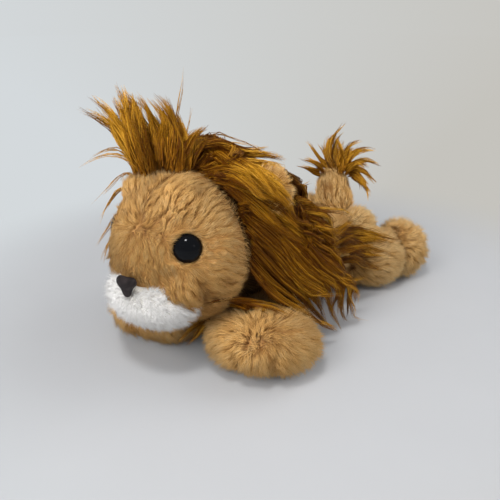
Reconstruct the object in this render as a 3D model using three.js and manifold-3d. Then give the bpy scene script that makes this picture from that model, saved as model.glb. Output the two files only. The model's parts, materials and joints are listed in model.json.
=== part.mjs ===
// A plush lion lying on its belly, in millimetres.
// +Z is up, the face looks along -Y and the lion's left side is +X.
// The origin is the middle of the flat face that the belly rests on.
import * as THREE from 'three';
import { ConvexGeometry } from 'three/addons/geometries/ConvexGeometry.js';
import { mergeVertices } from 'three/addons/utils/BufferGeometryUtils.js';
import Module from 'manifold-3d';

const wasm = await Module();
wasm.setup();
const { Manifold, Mesh: SolidMesh } = wasm;

// Cloth, gaps and the floor
const coverThickness = 6; // backing cloth with its flattened pile
const gap = 0.3; // between pieces that touch or are sewn together
const floorCut = 0.5; // depth of the flat under the torso
const cutOverrun = 4; // how far a cutting shape runs past the piece that it cuts

// Torso, a bolster that lies along Y
const torsoLength = 188;
const torsoHalfWidth = 50;
const torsoHalfHeight = 43;
const torsoWidthShares = [0.8, 0.92, 1, 1, 0.94];
const torsoHeightShares = [0.84, 0.95, 1, 1, 0.94];
const neckOpeningRadius = 20;
const neckInset = 10; // from the torso's front end to the seam that the head turns about
const neckY = neckInset - torsoLength / 2;

// Bag of pellets on the floor of the torso, under its stuffing
const pouchLength = 84;
const pouchHalfWidth = 27;
const pouchHalfHeight = 12;
const pouchFullness = 3;

// Head, a ball with full cheeks and a broad snout over the nose
const headForward = 39; // from the neck seam to the middle of the head
const headMiddleZ = 89;
const headCentre = new THREE.Vector3(0, neckY - headForward, headMiddleZ);
const headTurnedDegrees = 7; // as it lies, turned towards the lion's left
const headHeight = 122;
const headHalfWidth = 58;
const headHalfDepth = 54;
const headWidthShares = [0.92, 1.03, 1, 0.92];
const headDepthShares = [0.94, 1, 1, 0.94];
const snoutHalfWidth = 31;
const snoutHalfDepth = 23;
const snoutTop = new THREE.Vector3(1, -34, 27);
const snoutEnd = new THREE.Vector3(1, -36, -27);

// Muzzle and nose, in the head's own frame
const muzzleCentre = new THREE.Vector3(3, -34, -30);
const muzzleWidth = 86;
const muzzleHalfDepth = 31;
const muzzleHalfHeight = 27;
const noseCentre = new THREE.Vector3(4, -57, -9);
const noseWidth = 23;
const noseHeight = 20;
const noseThickness = 7;
const noseFullness = 2.6;

// Eyes: a glossy dome on a shank, held by a washer inside the head
const eyePlaceShares = [0.69, -0.63, 0.31]; // of the head's half width, depth and height
const eyeRadius = 10.5;
const eyeHeight = 8;
const eyeSunk = 5; // how far the eye's flat back sits below the head's surface
const shankRadius = 2.6;
const shankLength = 15;
const washerRadius = 9;
const washerThickness = 1.6;
const washerClearance = 1.2; // between the washer and the curved inside of the cover

// Ears, flat and round, in the head's own frame
const earRoot = new THREE.Vector3(33, 30, 30);
const earLean = new THREE.Vector3(0.74, 0.42, 0.53).normalize();
const earLength = 44;
const earHalfWidth = 21;
const earHalfThickness = 4.5;

// Front legs, each turned at its shoulder
const shoulderInset = 48; // from the torso's front end
const shoulderDepth = 23; // in from the torso's side
const shoulder = { x: torsoHalfWidth - shoulderDepth, y: shoulderInset - torsoLength / 2 };
const frontLegHalfHeight = 27;
const frontLegHalfWidth = 37;
const frontLegWidthShares = [0.66, 0.76, 1.1, 1.22, 1.04];
const frontLegHeightShares = [0.86, 0.86, 1, 1.04, 0.92];
const frontLegs = {
  left: { side: 1, reach: 105, splayedDegrees: 34 },
  right: { side: -1, reach: 122, splayedDegrees: -2 },
};

// Hind legs, each turned at its hip
const hipInset = 52; // from the torso's rear end
const hipDepth = 18; // in from the torso's side
const hip = { x: torsoHalfWidth - hipDepth, y: torsoLength / 2 - hipInset };
const hindLegLength = 100;
const hindLegHalfWidth = 29;
const hindLegHalfHeight = 33;
// A full haunch, a crease behind it and a round foot
const hindLegWidthShares = [1.2, 1.46, 1.15, 0.88, 0.93];
const hindLegHeightShares = [0.98, 1.03, 0.9, 1, 0.96];
const hindLegSplayedDegrees = 22;
const legFullness = 2.6;
const restingShares = [0.25, 0.8]; // along a leg, where its thigh and its paw rest
const legFlatDepth = 2; // how far the floor presses a leg's underside flat
const undersideSteps = 24;

// Tail, a thick stub that stands up from the rump, and its tuft
const tailInset = 20; // from the torso's rear end
const tailDepth = 24; // below the torso's top
const tailRoot = new THREE.Vector3(0, torsoLength / 2 - tailInset, 2 * torsoHalfHeight - tailDepth);
const tailRise = new THREE.Vector3(-3, -10, 50);
const tailTip = tailRoot.clone().add(tailRise);
const tailHingeRise = 8; // from the root up to the seam that the tail bends at
const tailHinge = new THREE.Vector3(0, tailRoot.y, tailRoot.z + tailHingeRise);
const tailHalfWidth = 16;
const tailWidthShares = [1.45, 1.28, 1.12, 1.08];
const tailFullness = 3;
const tuftRise = new THREE.Vector3(0, 4, 10); // from the tail's tip to the middle of the tuft
const tuftCentre = tailTip.clone().add(tuftRise);
const tuftHeight = 46;
const tuftHalfWidth = 22;
const tuftWidthShares = [0.6, 0.9, 1.15, 1.1];

// Mane: long hair in clumps, each with its half width at the middle. The crown's clumps stand on
// the head, so their places and widths are shares of half its height.
const crownLockShares = [
  { from: [-0.2, 0.13, 0.72], through: [-0.45, -0.17, 1.3], to: [-0.8, -0.66, 1.76], half: 0.28 },
  { from: [0.02, 0.26, 0.75], through: [-0.2, 0.12, 1.38], to: [-0.58, -0.16, 1.84], half: 0.28 },
  { from: [0.3, 0.4, 0.66], through: [0.18, 0.48, 1.14], to: [-0.1, 0.36, 1.52], half: 0.28 },
];
// The other clumps are placed from the neck seam, at the height of the head's middle.
const napeLock = { from: [0, -8, 51], through: [4, 38, 39], to: [8, 82, 3], half: 34 };
const sideLocks = {
  left: { side: 1, from: [36, 14, 34], through: [57, 56, -16], to: [85, 84, -80] },
  right: { side: -1, from: [36, 14, 34], through: [56, 56, -16], to: [80, 82, -80] },
};
const sideLockHalfWidth = 38;
const sideLockHalfThickness = 22;
const lockTaperShares = [0.9, 1.1, 1.05, 0.8, 0.5];
const lockFlatShare = 0.62; // a clump's thickness as a share of its width

// Ranges of the soft hinges at the seams, in degrees either way from rest
const headTurnRange = { low: -12, high: 12 };
const frontLegRange = { low: 0, high: 22 };
const hindLegRange = { low: 0, high: 24 };
const tailRange = { low: 0, high: 35 };
const sweepSteps = 4; // positions in which a moving neighbour is cut clear

// Fineness of the soft forms, and how full their rounded ends are: 2 is a plain oval
const softFullness = 2.2;
const fine = { rings: 13, sides: 20 };
const medium = { rings: 11, sides: 16 };
const coarse = { rings: 8, sides: 12 };
const roundSegments = 20;
const mergeTolerance = 1e-4;
const eyeArcSteps = 6;

const up = new THREE.Vector3(0, 0, 1);
const across = new THREE.Vector3(1, 0, 0);
const along = new THREE.Vector3(0, 1, 0);

const materials = {
  plush: { color: 0xc79b62, roughness: 0.95 },
  whitePlush: { color: 0xe8e6e0, roughness: 0.95 },
  hair: { color: 0x8c5f19, roughness: 0.8 },
  eye: { color: 0x08090c, roughness: 0.08 },
  nose: { color: 0x2d2626, roughness: 0.5 },
  fibre: { color: 0xf0eee8, roughness: 1 },
  pouchCloth: { color: 0xd8d4c8, roughness: 0.9 },
  nylon: { color: 0xeeeeee, roughness: 0.4 },
};

// Value of a row of shares at t from 0 to 1, on a smooth curve through them
function shareAt(shares, t) {
  const curve = new THREE.SplineCurve(shares.map((share, i) => new THREE.Vector2(i, share)));
  return curve.getPoint(t).y;
}

// How far a form with rounded ends narrows at t, as a share of its full half size
const endShare = (t, fullness) => Math.pow(1 - Math.pow(Math.abs(2 * t - 1), fullness), 1 / fullness);
const ringPlace = (ring, rings) => (1 - Math.cos(Math.PI * ring / rings)) / 2;

// A spine with both of its ends drawn in
function insetEnds(spine, inset) {
  const points = spine.map((point) => point.clone());
  const last = spine.length - 1;
  const inwards = (end, next) => new THREE.Vector3().subVectors(spine[next], spine[end]).normalize();
  points[0].addScaledVector(inwards(0, 1), inset);
  points[last].addScaledVector(inwards(last, last - 1), inset);
  return points;
}

// A closed form that swells and tapers along its spine. Its section is an oval, "width" and
// "height" are the half sizes that the shares multiply, and its ends are rounded.
function plumpForm({ spine, width, height, widthShares = [1, 1], heightShares = widthShares,
  upward = up, fullness = softFullness, inset = 0, detail = medium }) {
  const curve = new THREE.CatmullRomCurve3(insetEnds(spine, inset));
  const points = [];
  for (let ring = 0; ring <= detail.rings; ring++) {
    const t = ringPlace(ring, detail.rings);
    const middle = curve.getPointAt(t);
    if (ring === 0 || ring === detail.rings) {
      points.push(middle);
      continue;
    }
    const end = endShare(t, fullness);
    const tangent = curve.getTangentAt(t);
    const sideways = new THREE.Vector3().crossVectors(tangent, upward).normalize();
    const lifted = new THREE.Vector3().crossVectors(sideways, tangent);
    const halfWidth = end * (width * shareAt(widthShares, t) - inset);
    const halfHeight = end * (height * shareAt(heightShares, t) - inset);
    for (let i = 0; i < detail.sides; i++) {
      const angle = 2 * Math.PI * i / detail.sides;
      points.push(middle.clone()
        .addScaledVector(sideways, halfWidth * Math.cos(angle))
        .addScaledVector(lifted, halfHeight * Math.sin(angle)));
    }
  }
  return ringsToGeometry(points, detail);
}

// Joins rings of points, with one point at each end, into a closed surface
function ringsToGeometry(points, { rings, sides }) {
  const faces = [];
  const at = (ring, i) => 1 + (ring - 1) * sides + (i % sides);
  const last = points.length - 1;
  for (let i = 0; i < sides; i++) {
    faces.push(0, at(1, i), at(1, i + 1));
    faces.push(last, at(rings - 1, i + 1), at(rings - 1, i));
  }
  for (let ring = 1; ring < rings - 1; ring++) {
    for (let i = 0; i < sides; i++) {
      faces.push(at(ring, i), at(ring + 1, i), at(ring, i + 1));
      faces.push(at(ring + 1, i), at(ring + 1, i + 1), at(ring, i + 1));
    }
  }
  const geometry = new THREE.BufferGeometry().setFromPoints(points);
  geometry.setIndex(faces);
  return geometry;
}

function toSolid(source) {
  const geometry = source.clone();
  geometry.deleteAttribute('normal');
  geometry.deleteAttribute('uv');
  const merged = mergeVertices(geometry, mergeTolerance);
  const solid = new Manifold(new SolidMesh({
    numProp: 3,
    vertProperties: new Float32Array(merged.attributes.position.array),
    triVerts: new Uint32Array(merged.index.array),
  }));
  return solid.volume() < 0 ? turnedOut(merged) : solid;
}

// The same solid with its faces turned the other way round
function turnedOut(geometry) {
  const faces = Array.from(geometry.index.array);
  for (let i = 0; i < faces.length; i += 3) {
    [faces[i + 1], faces[i + 2]] = [faces[i + 2], faces[i + 1]];
  }
  return new Manifold(new SolidMesh({
    numProp: 3,
    vertProperties: new Float32Array(geometry.attributes.position.array),
    triVerts: new Uint32Array(faces),
  }));
}

function toGeometry(solid) {
  const mesh = solid.getMesh();
  const geometry = new THREE.BufferGeometry();
  geometry.setAttribute('position', new THREE.BufferAttribute(mesh.vertProperties, mesh.numProp));
  geometry.setIndex(new THREE.BufferAttribute(mesh.triVerts, 1));
  geometry.computeVertexNormals();
  return geometry;
}

const cut = (solid, ...cutters) => cutters.reduce((rest, cutter) => rest.subtract(cutter), solid);
const join = (first, ...others) => others.reduce((all, other) => all.add(other), first);

// The largest body of a solid that cuts have left in several
function mainBody(solid) {
  return solid.decompose().sort((a, b) => b.volume() - a.volume())[0];
}

// Matrix of a turn about an axis through a point
function turnAbout(point, axis, degrees) {
  const turn = new THREE.Matrix4().makeRotationAxis(axis, THREE.MathUtils.degToRad(degrees));
  return new THREE.Matrix4().makeTranslation(point.x, point.y, point.z).multiply(turn)
    .multiply(new THREE.Matrix4().makeTranslation(-point.x, -point.y, -point.z));
}

// The points of a form in every position that it turns through
function turnedPoints(points, centre, axis, { low, high }) {
  const all = [];
  for (let step = 0; step <= sweepSteps; step++) {
    const turn = turnAbout(centre, axis, THREE.MathUtils.lerp(low, high, step / sweepSteps));
    all.push(...points.map((point) => point.clone().applyMatrix4(turn)));
  }
  return all;
}

function sweptPoints(geometry, centre, axis, range) {
  const position = geometry.attributes.position;
  const points = Array.from({ length: position.count },
    (_, i) => new THREE.Vector3().fromBufferAttribute(position, i));
  return turnedPoints(points, centre, axis, range);
}

// The rounded space that a form fills while it turns through a range
function sweptForm(geometry, centre, axis, range) {
  return toSolid(new ConvexGeometry(sweptPoints(geometry, centre, axis, range)));
}

function slab(size, centre) {
  return toSolid(new THREE.BoxGeometry(size.x, size.y, size.z).translate(centre.x, centre.y, centre.z));
}

// Everything below the floor, for cutting a resting piece flat
const floorSize = 2 * torsoLength;
const belowFloor = slab(new THREE.Vector3(floorSize, floorSize, torsoLength),
  new THREE.Vector3(0, 0, -torsoLength / 2));

// A round bar of a given length that starts at a point and runs along an axis
function barAlong(point, axis, radius, length) {
  const bar = new THREE.CylinderGeometry(radius, radius, length, roundSegments);
  bar.translate(0, length / 2, 0);
  bar.applyQuaternion(new THREE.Quaternion().setFromUnitVectors(along, axis));
  bar.translate(point.x, point.y, point.z);
  return bar;
}

const headPlace = new THREE.Matrix4()
  .makeTranslation(headCentre.x, headCentre.y, headCentre.z)
  .multiply(new THREE.Matrix4().makeRotationZ(THREE.MathUtils.degToRad(headTurnedDegrees)));
const onHead = (geometry) => geometry.clone().applyMatrix4(headPlace);
const mirrored = (vector, side) => new THREE.Vector3(side * vector.x, vector.y, vector.z);

// Torso
const torsoMiddleZ = torsoHalfHeight - floorCut;
const torsoFront = new THREE.Vector3(0, -torsoLength / 2, torsoMiddleZ);
const torsoBack = new THREE.Vector3(0, torsoLength / 2, torsoMiddleZ);

function torsoForm(inset, detail) {
  return plumpForm({
    spine: [torsoFront, new THREE.Vector3(0, 0, torsoMiddleZ), torsoBack],
    width: torsoHalfWidth,
    height: torsoHalfHeight,
    widthShares: torsoWidthShares,
    heightShares: torsoHeightShares,
    inset,
    detail,
  });
}

// Pellet bag and stuffing
const pouchMiddleZ = coverThickness + pouchHalfHeight + 2 * gap;
// "lowered" is how far below its place the form is made
function pouchForm(grown, lowered = 0) {
  return plumpForm({
    spine: [new THREE.Vector3(0, -pouchLength / 2, pouchMiddleZ),
      new THREE.Vector3(0, pouchLength / 2, pouchMiddleZ)],
    width: pouchHalfWidth,
    height: pouchHalfHeight,
    fullness: pouchFullness,
    inset: -grown,
    detail: coarse,
  }).translate(0, 0, -lowered);
}

// Head
function headForm(inset, detail) {
  return onHead(plumpForm({
    spine: [new THREE.Vector3(0, 0, -headHeight / 2), new THREE.Vector3(0, 0, headHeight / 2)],
    width: headHalfWidth,
    height: headHalfDepth,
    widthShares: headWidthShares,
    heightShares: headDepthShares,
    upward: along,
    inset,
    detail,
  }));
}

function snoutForm(inset) {
  return onHead(plumpForm({
    spine: [snoutTop, snoutEnd],
    width: snoutHalfWidth,
    height: snoutHalfDepth,
    upward: along,
    inset,
    detail: medium,
  }));
}

function muzzleForm(inset) {
  const half = new THREE.Vector3(muzzleWidth / 2, 0, 0);
  return onHead(plumpForm({
    spine: [muzzleCentre.clone().sub(half), muzzleCentre.clone().add(half)],
    width: muzzleHalfDepth,
    height: muzzleHalfHeight,
    inset,
    detail: medium,
  }));
}

function noseForm() {
  const half = new THREE.Vector3(noseWidth / 2, 0, 0);
  return onHead(plumpForm({
    spine: [noseCentre.clone().sub(half), noseCentre.clone().add(half)],
    width: noseThickness,
    height: noseHeight / 2,
    fullness: noseFullness,
    detail: coarse,
  }));
}

// Ear, in the head's own frame before it is placed
function earForm(side, grown) {
  const root = mirrored(earRoot, side);
  const tip = root.clone().addScaledVector(mirrored(earLean, side), earLength);
  return onHead(plumpForm({
    spine: [root, tip],
    width: earHalfWidth,
    height: earHalfThickness,
    upward: along,
    inset: -grown,
    detail: medium,
  }));
}

// Eye: the dome and its shank are one turned piece
function eyeParts(side) {
  const halfSizes = [headHalfWidth, headHalfDepth, headHeight / 2];
  const centre = new THREE.Vector3(...halfSizes.map((half, i) => half * eyePlaceShares[i]));
  const outwards = new THREE.Vector3(...halfSizes.map((half, i) => eyePlaceShares[i] / half));
  const axis = mirrored(outwards, side).transformDirection(headPlace);
  const surface = mirrored(centre, side).applyMatrix4(headPlace);
  const seat = surface.clone().addScaledVector(axis, -eyeSunk);
  const washerDepth = coverThickness + washerClearance
    + washerRadius ** 2 / (2 * (headHalfDepth - coverThickness));
  const inner = (depth) => surface.clone().addScaledVector(axis, -depth);
  const dome = new THREE.EllipseCurve(0, 0, eyeRadius, eyeHeight, 0, Math.PI / 2);
  const profile = [new THREE.Vector2(0, -shankLength), new THREE.Vector2(shankRadius, -shankLength),
    new THREE.Vector2(shankRadius, 0), ...dome.getPoints(eyeArcSteps)];
  profile[profile.length - 1].x = 0;
  const washerProfile = [
    new THREE.Vector2(shankRadius + gap, 0), new THREE.Vector2(washerRadius, 0),
    new THREE.Vector2(washerRadius, washerThickness),
    new THREE.Vector2(shankRadius + gap, washerThickness),
    new THREE.Vector2(shankRadius + gap, 0)];
  const standing = new THREE.Quaternion().setFromUnitVectors(along, axis);
  const placed = (points, point) => new THREE.LatheGeometry(points, roundSegments)
    .applyQuaternion(standing).translate(point.x, point.y, point.z);
  return {
    eye: placed(profile, seat),
    washer: placed(washerProfile, inner(washerDepth + washerThickness)),
    seatSpace: toSolid(barAlong(seat.clone().addScaledVector(axis, -gap), axis, eyeRadius + gap,
      eyeHeight + cutOverrun)),
    shankSpace: toSolid(barAlong(inner(shankLength), axis, shankRadius + gap, 2 * shankLength)),
    stuffingSpace: toSolid(barAlong(inner(shankLength + eyeSunk + gap), axis, washerRadius + gap,
      2 * shankLength)),
  };
}

// Leg: its spine starts at the joint, and its underside lies level on the floor
function legForm({ root, direction, length, width, height, widthShares, heightShares }, inset,
  detail) {
  const heights = restingShares.map((share) => height * shareAt(heightShares, share));
  const undersides = Array.from({ length: undersideSteps + 1 }, (_, step) => {
    const t = step / undersideSteps;
    return THREE.MathUtils.lerp(...heights, t)
      - height * shareAt(heightShares, t) * endShare(t, legFullness);
  });
  const [hipHeight, pawHeight] = heights.map(
    (middle) => middle - Math.min(...undersides) - legFlatDepth);
  const start = new THREE.Vector3(root.x, root.y, hipHeight);
  const end = start.clone().addScaledVector(direction, length).setZ(pawHeight);
  return plumpForm({
    spine: [start, end],
    width,
    height,
    widthShares,
    heightShares,
    fullness: legFullness,
    inset,
    detail,
  });
}

const headingFrom = (side, forwardSign, degrees) => {
  const angle = THREE.MathUtils.degToRad(degrees);
  return new THREE.Vector3(side * Math.sin(angle), forwardSign * Math.cos(angle), 0);
};

function frontLeg({ side, reach, splayedDegrees }) {
  return {
    side,
    turn: side,
    range: frontLegRange,
    root: new THREE.Vector3(side * shoulder.x, shoulder.y, 0),
    direction: headingFrom(side, -1, splayedDegrees),
    length: reach,
    width: frontLegHalfWidth,
    height: frontLegHalfHeight,
    widthShares: frontLegWidthShares,
    heightShares: frontLegHeightShares,
  };
}

function hindLeg(side) {
  return {
    side,
    turn: -side,
    range: hindLegRange,
    root: new THREE.Vector3(side * hip.x, hip.y, 0),
    direction: headingFrom(side, 1, hindLegSplayedDegrees),
    length: hindLegLength,
    width: hindLegHalfWidth,
    height: hindLegHalfHeight,
    widthShares: hindLegWidthShares,
    heightShares: hindLegHeightShares,
  };
}

// A clump of hair, broad where it is sewn and narrow at its end
function lockForm({ from, through, to, half, thick = half * lockFlatShare, place = null },
  grown = 0, upward = up) {
  const spine = [from, through, to].map((point) => new THREE.Vector3(...point));
  const geometry = plumpForm({
    spine,
    width: half,
    height: thick,
    widthShares: lockTaperShares,
    upward,
    inset: -grown,
    detail: medium,
  });
  return place ? geometry.applyMatrix4(place) : geometry;
}

// A clump of the crown, sized from its shares
function crownLock({ from, through, to, half }, grown) {
  const size = headHeight / 2;
  const [start, middle, end] = [from, through, to].map((point) => point.map((part) => part * size));
  return lockForm({ from: start, through: middle, to: end, half: half * size, place: headPlace },
    grown, along);
}

function tailForm(grown) {
  return plumpForm({
    spine: [tailRoot, tailTip],
    width: tailHalfWidth,
    height: tailHalfWidth,
    widthShares: tailWidthShares,
    upward: along,
    fullness: tailFullness,
    inset: -grown,
    detail: medium,
  });
}

function tailTuftForm() {
  const half = new THREE.Vector3(0, 0, tuftHeight / 2);
  return plumpForm({
    spine: [tuftCentre.clone().sub(half), tuftCentre.clone().add(half)],
    width: tuftHalfWidth,
    height: tuftHalfWidth,
    widthShares: tuftWidthShares,
    upward: along,
    detail: medium,
  });
}

// What turns about the neck, and the space that it sweeps
const neckPoint = new THREE.Vector3(0, neckY, headMiddleZ);
const atNeck = new THREE.Matrix4().makeTranslation(0, neckY, headMiddleZ);
const napeForm = (grown) => lockForm({ ...napeLock, place: atNeck }, grown);
const turnedHead = (geometry) => sweptForm(geometry, neckPoint, up, headTurnRange);
const torsoSeenFromHead = (grown) => sweptForm(torsoForm(-grown, fine), neckPoint, up,
  headTurnRange);
const torsoSeenFromLeg = (leg, grown) => sweptForm(torsoForm(-grown, fine), leg.root, up,
  { low: -leg.turn * leg.range.low, high: -leg.turn * leg.range.high });
const torsoSeenFromTail = (grown) => sweptForm(torsoForm(-grown, fine), tailHinge, across,
  { low: tailRange.low, high: tailRange.high });

// The space that the head and muzzle fill, seen from a leg, in every position of both
function headSeenFromLeg(leg, grown) {
  return [headForm(-grown, fine), muzzleForm(-grown)].map((geometry) => {
    const turned = sweptPoints(geometry, neckPoint, up, headTurnRange);
    return toSolid(new ConvexGeometry(turnedPoints(turned, leg.root, up,
      { low: -leg.turn * leg.range.low, high: -leg.turn * leg.range.high })));
  });
}

const solids = {};
const bodyOf = {};
function add(body, name, solid, material) {
  solids[name] = { solid, material };
  bodyOf[name] = body;
}

// Torso
const torsoSolid = toSolid(torsoForm(0, fine));
const neckOpening = toSolid(barAlong(
  new THREE.Vector3(0, -torsoLength / 2 - cutOverrun, torsoMiddleZ), along, neckOpeningRadius,
  torsoLength / 4));
add('torso', 'torso_cover',
  cut(torsoSolid, toSolid(torsoForm(coverThickness, medium)), neckOpening, belowFloor),
  'plush');
add('torso', 'torso_stuffing',
  mainBody(cut(toSolid(torsoForm(coverThickness + gap, medium)), toSolid(pouchForm(gap)),
    toSolid(pouchForm(gap, pouchHalfHeight)))), 'fibre');
add('torso', 'pellet_pouch',
  toSolid(pouchForm(0)).intersect(toSolid(torsoForm(coverThickness + gap, medium))), 'pouchCloth');

// Head, with its eyes, nose, muzzle and ears
const eyes = { left: eyeParts(1), right: eyeParts(-1) };
const eyeSpaces = Object.values(eyes).flatMap(({ seatSpace, shankSpace }) => [seatSpace, shankSpace]);
const headOpening = toSolid(barAlong(
  new THREE.Vector3(0, headCentre.y, torsoMiddleZ + neckOpeningRadius), along,
  neckOpeningRadius, headHalfDepth + cutOverrun));
const torsoSpaceInHead = torsoSeenFromHead(gap);
add('head', 'head_cover', mainBody(cut(
  join(toSolid(headForm(0, fine)), toSolid(snoutForm(0))),
  cut(toSolid(headForm(coverThickness, medium)), torsoSeenFromHead(coverThickness)),
  headOpening, torsoSpaceInHead, ...eyeSpaces)), 'plush');
add('head', 'head_stuffing', mainBody(cut(
  toSolid(headForm(coverThickness + gap, medium)),
  torsoSeenFromHead(coverThickness + gap),
  eyes.left.stuffingSpace, eyes.right.stuffingSpace)), 'fibre');
const headSpace = join(toSolid(headForm(-gap, fine)), toSolid(snoutForm(-gap)));
add('head', 'muzzle', mainBody(cut(toSolid(muzzleForm(0)), headSpace)), 'whitePlush');
add('head', 'nose', mainBody(cut(toSolid(noseForm()), headSpace, toSolid(muzzleForm(-gap)))),
  'nose');
for (const [name, side] of [['left', 1], ['right', -1]]) {
  add('head', `eye_${name}`, toSolid(eyes[name].eye), 'eye');
  add('head', `eye_washer_${name}`, toSolid(eyes[name].washer), 'nylon');
  add('head', `ear_${name}`, mainBody(cut(toSolid(earForm(side, 0)), headSpace)), 'plush');
}
const earSpaces = [toSolid(earForm(1, gap)), toSolid(earForm(-1, gap))];

// Hair that turns with the head
const crown = crownLockShares.map((shares) => toSolid(crownLock(shares, 0)));
add('head', 'mane_crown', mainBody(cut(join(...crown), headSpace, ...earSpaces)), 'hair');
const crownSpace = join(...crownLockShares.map((shares) => toSolid(crownLock(shares, gap))));
add('head', 'mane_nape', mainBody(cut(toSolid(napeForm(0)), headSpace, torsoSpaceInHead, crownSpace,
  ...earSpaces)), 'hair');

// Legs
const legs = {
  front_leg_left: frontLeg(frontLegs.left),
  front_leg_right: frontLeg(frontLegs.right),
  hind_leg_left: hindLeg(1),
  hind_leg_right: hindLeg(-1),
};
for (const [name, leg] of Object.entries(legs)) {
  const nearHead = name.startsWith('front');
  const clearOf = (grown) => (nearHead ? headSeenFromLeg(leg, grown) : []);
  add(name, `${name}_cover`, mainBody(cut(
    toSolid(legForm(leg, 0, medium)),
    cut(toSolid(legForm(leg, coverThickness, coarse)), ...clearOf(coverThickness + gap)),
    torsoSeenFromLeg(leg, gap), ...clearOf(gap), belowFloor)), 'plush');
  add(name, `${name}_stuffing`, mainBody(cut(
    toSolid(legForm(leg, coverThickness + gap, coarse)),
    torsoSeenFromLeg(leg, gap), ...clearOf(coverThickness + 2 * gap))), 'fibre');
}

// Hair at the sides of the neck, clear of the head and the legs as they turn
const headSweeps = [headForm(-gap, fine), napeForm(gap), earForm(1, gap), earForm(-1, gap)]
  .map(turnedHead);
for (const [name, { side, from, through, to }] of Object.entries(sideLocks)) {
  const [start, middle, end] = [from, through, to].map(([x, y, z]) => [side * x, y, z]);
  const lock = lockForm({
    from: start, through: middle, to: end, half: sideLockHalfWidth, thick: sideLockHalfThickness,
    place: atNeck,
  }, 0, across);
  const nearLegs = ['front', 'hind'].map((place) => legs[`${place}_leg_${name}`]);
  const legSweeps = nearLegs.map(
    (leg) => sweptForm(legForm(leg, -gap, medium), leg.root, up,
      { low: leg.turn * leg.range.low, high: leg.turn * leg.range.high }));
  add('torso', `mane_${name}`, mainBody(cut(toSolid(lock), toSolid(torsoForm(-gap, fine)),
    ...legSweeps, ...headSweeps)), 'hair');
}

// Tail
add('tail', 'tail', mainBody(cut(toSolid(tailForm(0)), torsoSeenFromTail(gap))), 'plush');
add('tail', 'tail_tuft', mainBody(cut(toSolid(tailTuftForm()), toSolid(tailForm(gap)))), 'hair');

// Groups: each moving body stands at the point that it turns about
const pivots = {
  torso: new THREE.Vector3(),
  head: neckPoint,
  tail: tailHinge,
  ...Object.fromEntries(Object.entries(legs).map(([name, leg]) => [name, leg.root])),
};
const lion = new THREE.Group();
const groups = {};
for (const [name, pivot] of Object.entries(pivots)) {
  groups[name] = new THREE.Group();
  groups[name].position.copy(pivot);
  (name === 'torso' ? lion : groups.torso).add(groups[name]);
}
for (const [name, { solid, material }] of Object.entries(solids)) {
  const pivot = pivots[bodyOf[name]];
  const geometry = toGeometry(solid).translate(-pivot.x, -pivot.y, -pivot.z);
  const mesh = new THREE.Mesh(geometry, new THREE.MeshStandardMaterial(materials[material]));
  mesh.name = name;
  groups[bodyOf[name]].add(mesh);
}

export default lion;
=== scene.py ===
"""A plush lion lying on its belly: stuffed skins, short pile, a long combed mane, a tail tuft and a face."""

import json
import math

import bmesh
import bpy
import numpy as np
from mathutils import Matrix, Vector, noise
from mathutils.bvhtree import BVHTree

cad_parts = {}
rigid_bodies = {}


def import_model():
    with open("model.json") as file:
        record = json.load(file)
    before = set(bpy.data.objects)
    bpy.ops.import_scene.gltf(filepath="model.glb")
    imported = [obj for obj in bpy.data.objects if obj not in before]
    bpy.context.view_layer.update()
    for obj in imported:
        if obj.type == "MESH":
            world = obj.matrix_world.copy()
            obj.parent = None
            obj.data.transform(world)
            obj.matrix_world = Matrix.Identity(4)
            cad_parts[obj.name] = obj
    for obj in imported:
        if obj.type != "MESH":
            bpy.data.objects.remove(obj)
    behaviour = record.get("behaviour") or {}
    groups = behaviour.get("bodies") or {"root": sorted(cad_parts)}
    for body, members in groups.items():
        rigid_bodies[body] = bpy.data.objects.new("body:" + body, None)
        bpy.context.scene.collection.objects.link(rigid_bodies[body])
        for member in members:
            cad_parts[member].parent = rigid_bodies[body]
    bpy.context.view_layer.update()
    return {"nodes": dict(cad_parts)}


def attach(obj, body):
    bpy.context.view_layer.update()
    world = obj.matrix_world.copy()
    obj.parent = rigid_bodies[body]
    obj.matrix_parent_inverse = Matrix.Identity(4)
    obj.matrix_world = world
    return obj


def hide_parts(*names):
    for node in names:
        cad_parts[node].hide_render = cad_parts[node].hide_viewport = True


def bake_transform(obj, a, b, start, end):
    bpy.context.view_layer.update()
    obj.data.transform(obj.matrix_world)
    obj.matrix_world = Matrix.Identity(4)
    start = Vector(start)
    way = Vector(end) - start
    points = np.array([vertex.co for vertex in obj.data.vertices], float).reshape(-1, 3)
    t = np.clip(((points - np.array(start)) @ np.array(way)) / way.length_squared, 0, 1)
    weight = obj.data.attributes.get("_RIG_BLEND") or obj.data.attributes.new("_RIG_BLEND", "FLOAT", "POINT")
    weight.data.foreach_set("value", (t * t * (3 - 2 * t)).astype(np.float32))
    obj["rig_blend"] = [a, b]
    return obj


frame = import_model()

bl_info = {
    "name": "Plush lion",
    "version": (1, 0, 0),
    "blender": (4, 5, 0),
    "location": "View3D > Sidebar > Lion",
    "description": "Makes a plush lion with stuffed skins, short pile and a long mane",
    "category": "Add Mesh",
}

MM = 0.001
UP = np.array([0.0, 0.0, 1.0])
ALONG = np.array([0.0, 1.0, 0.0])

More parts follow.
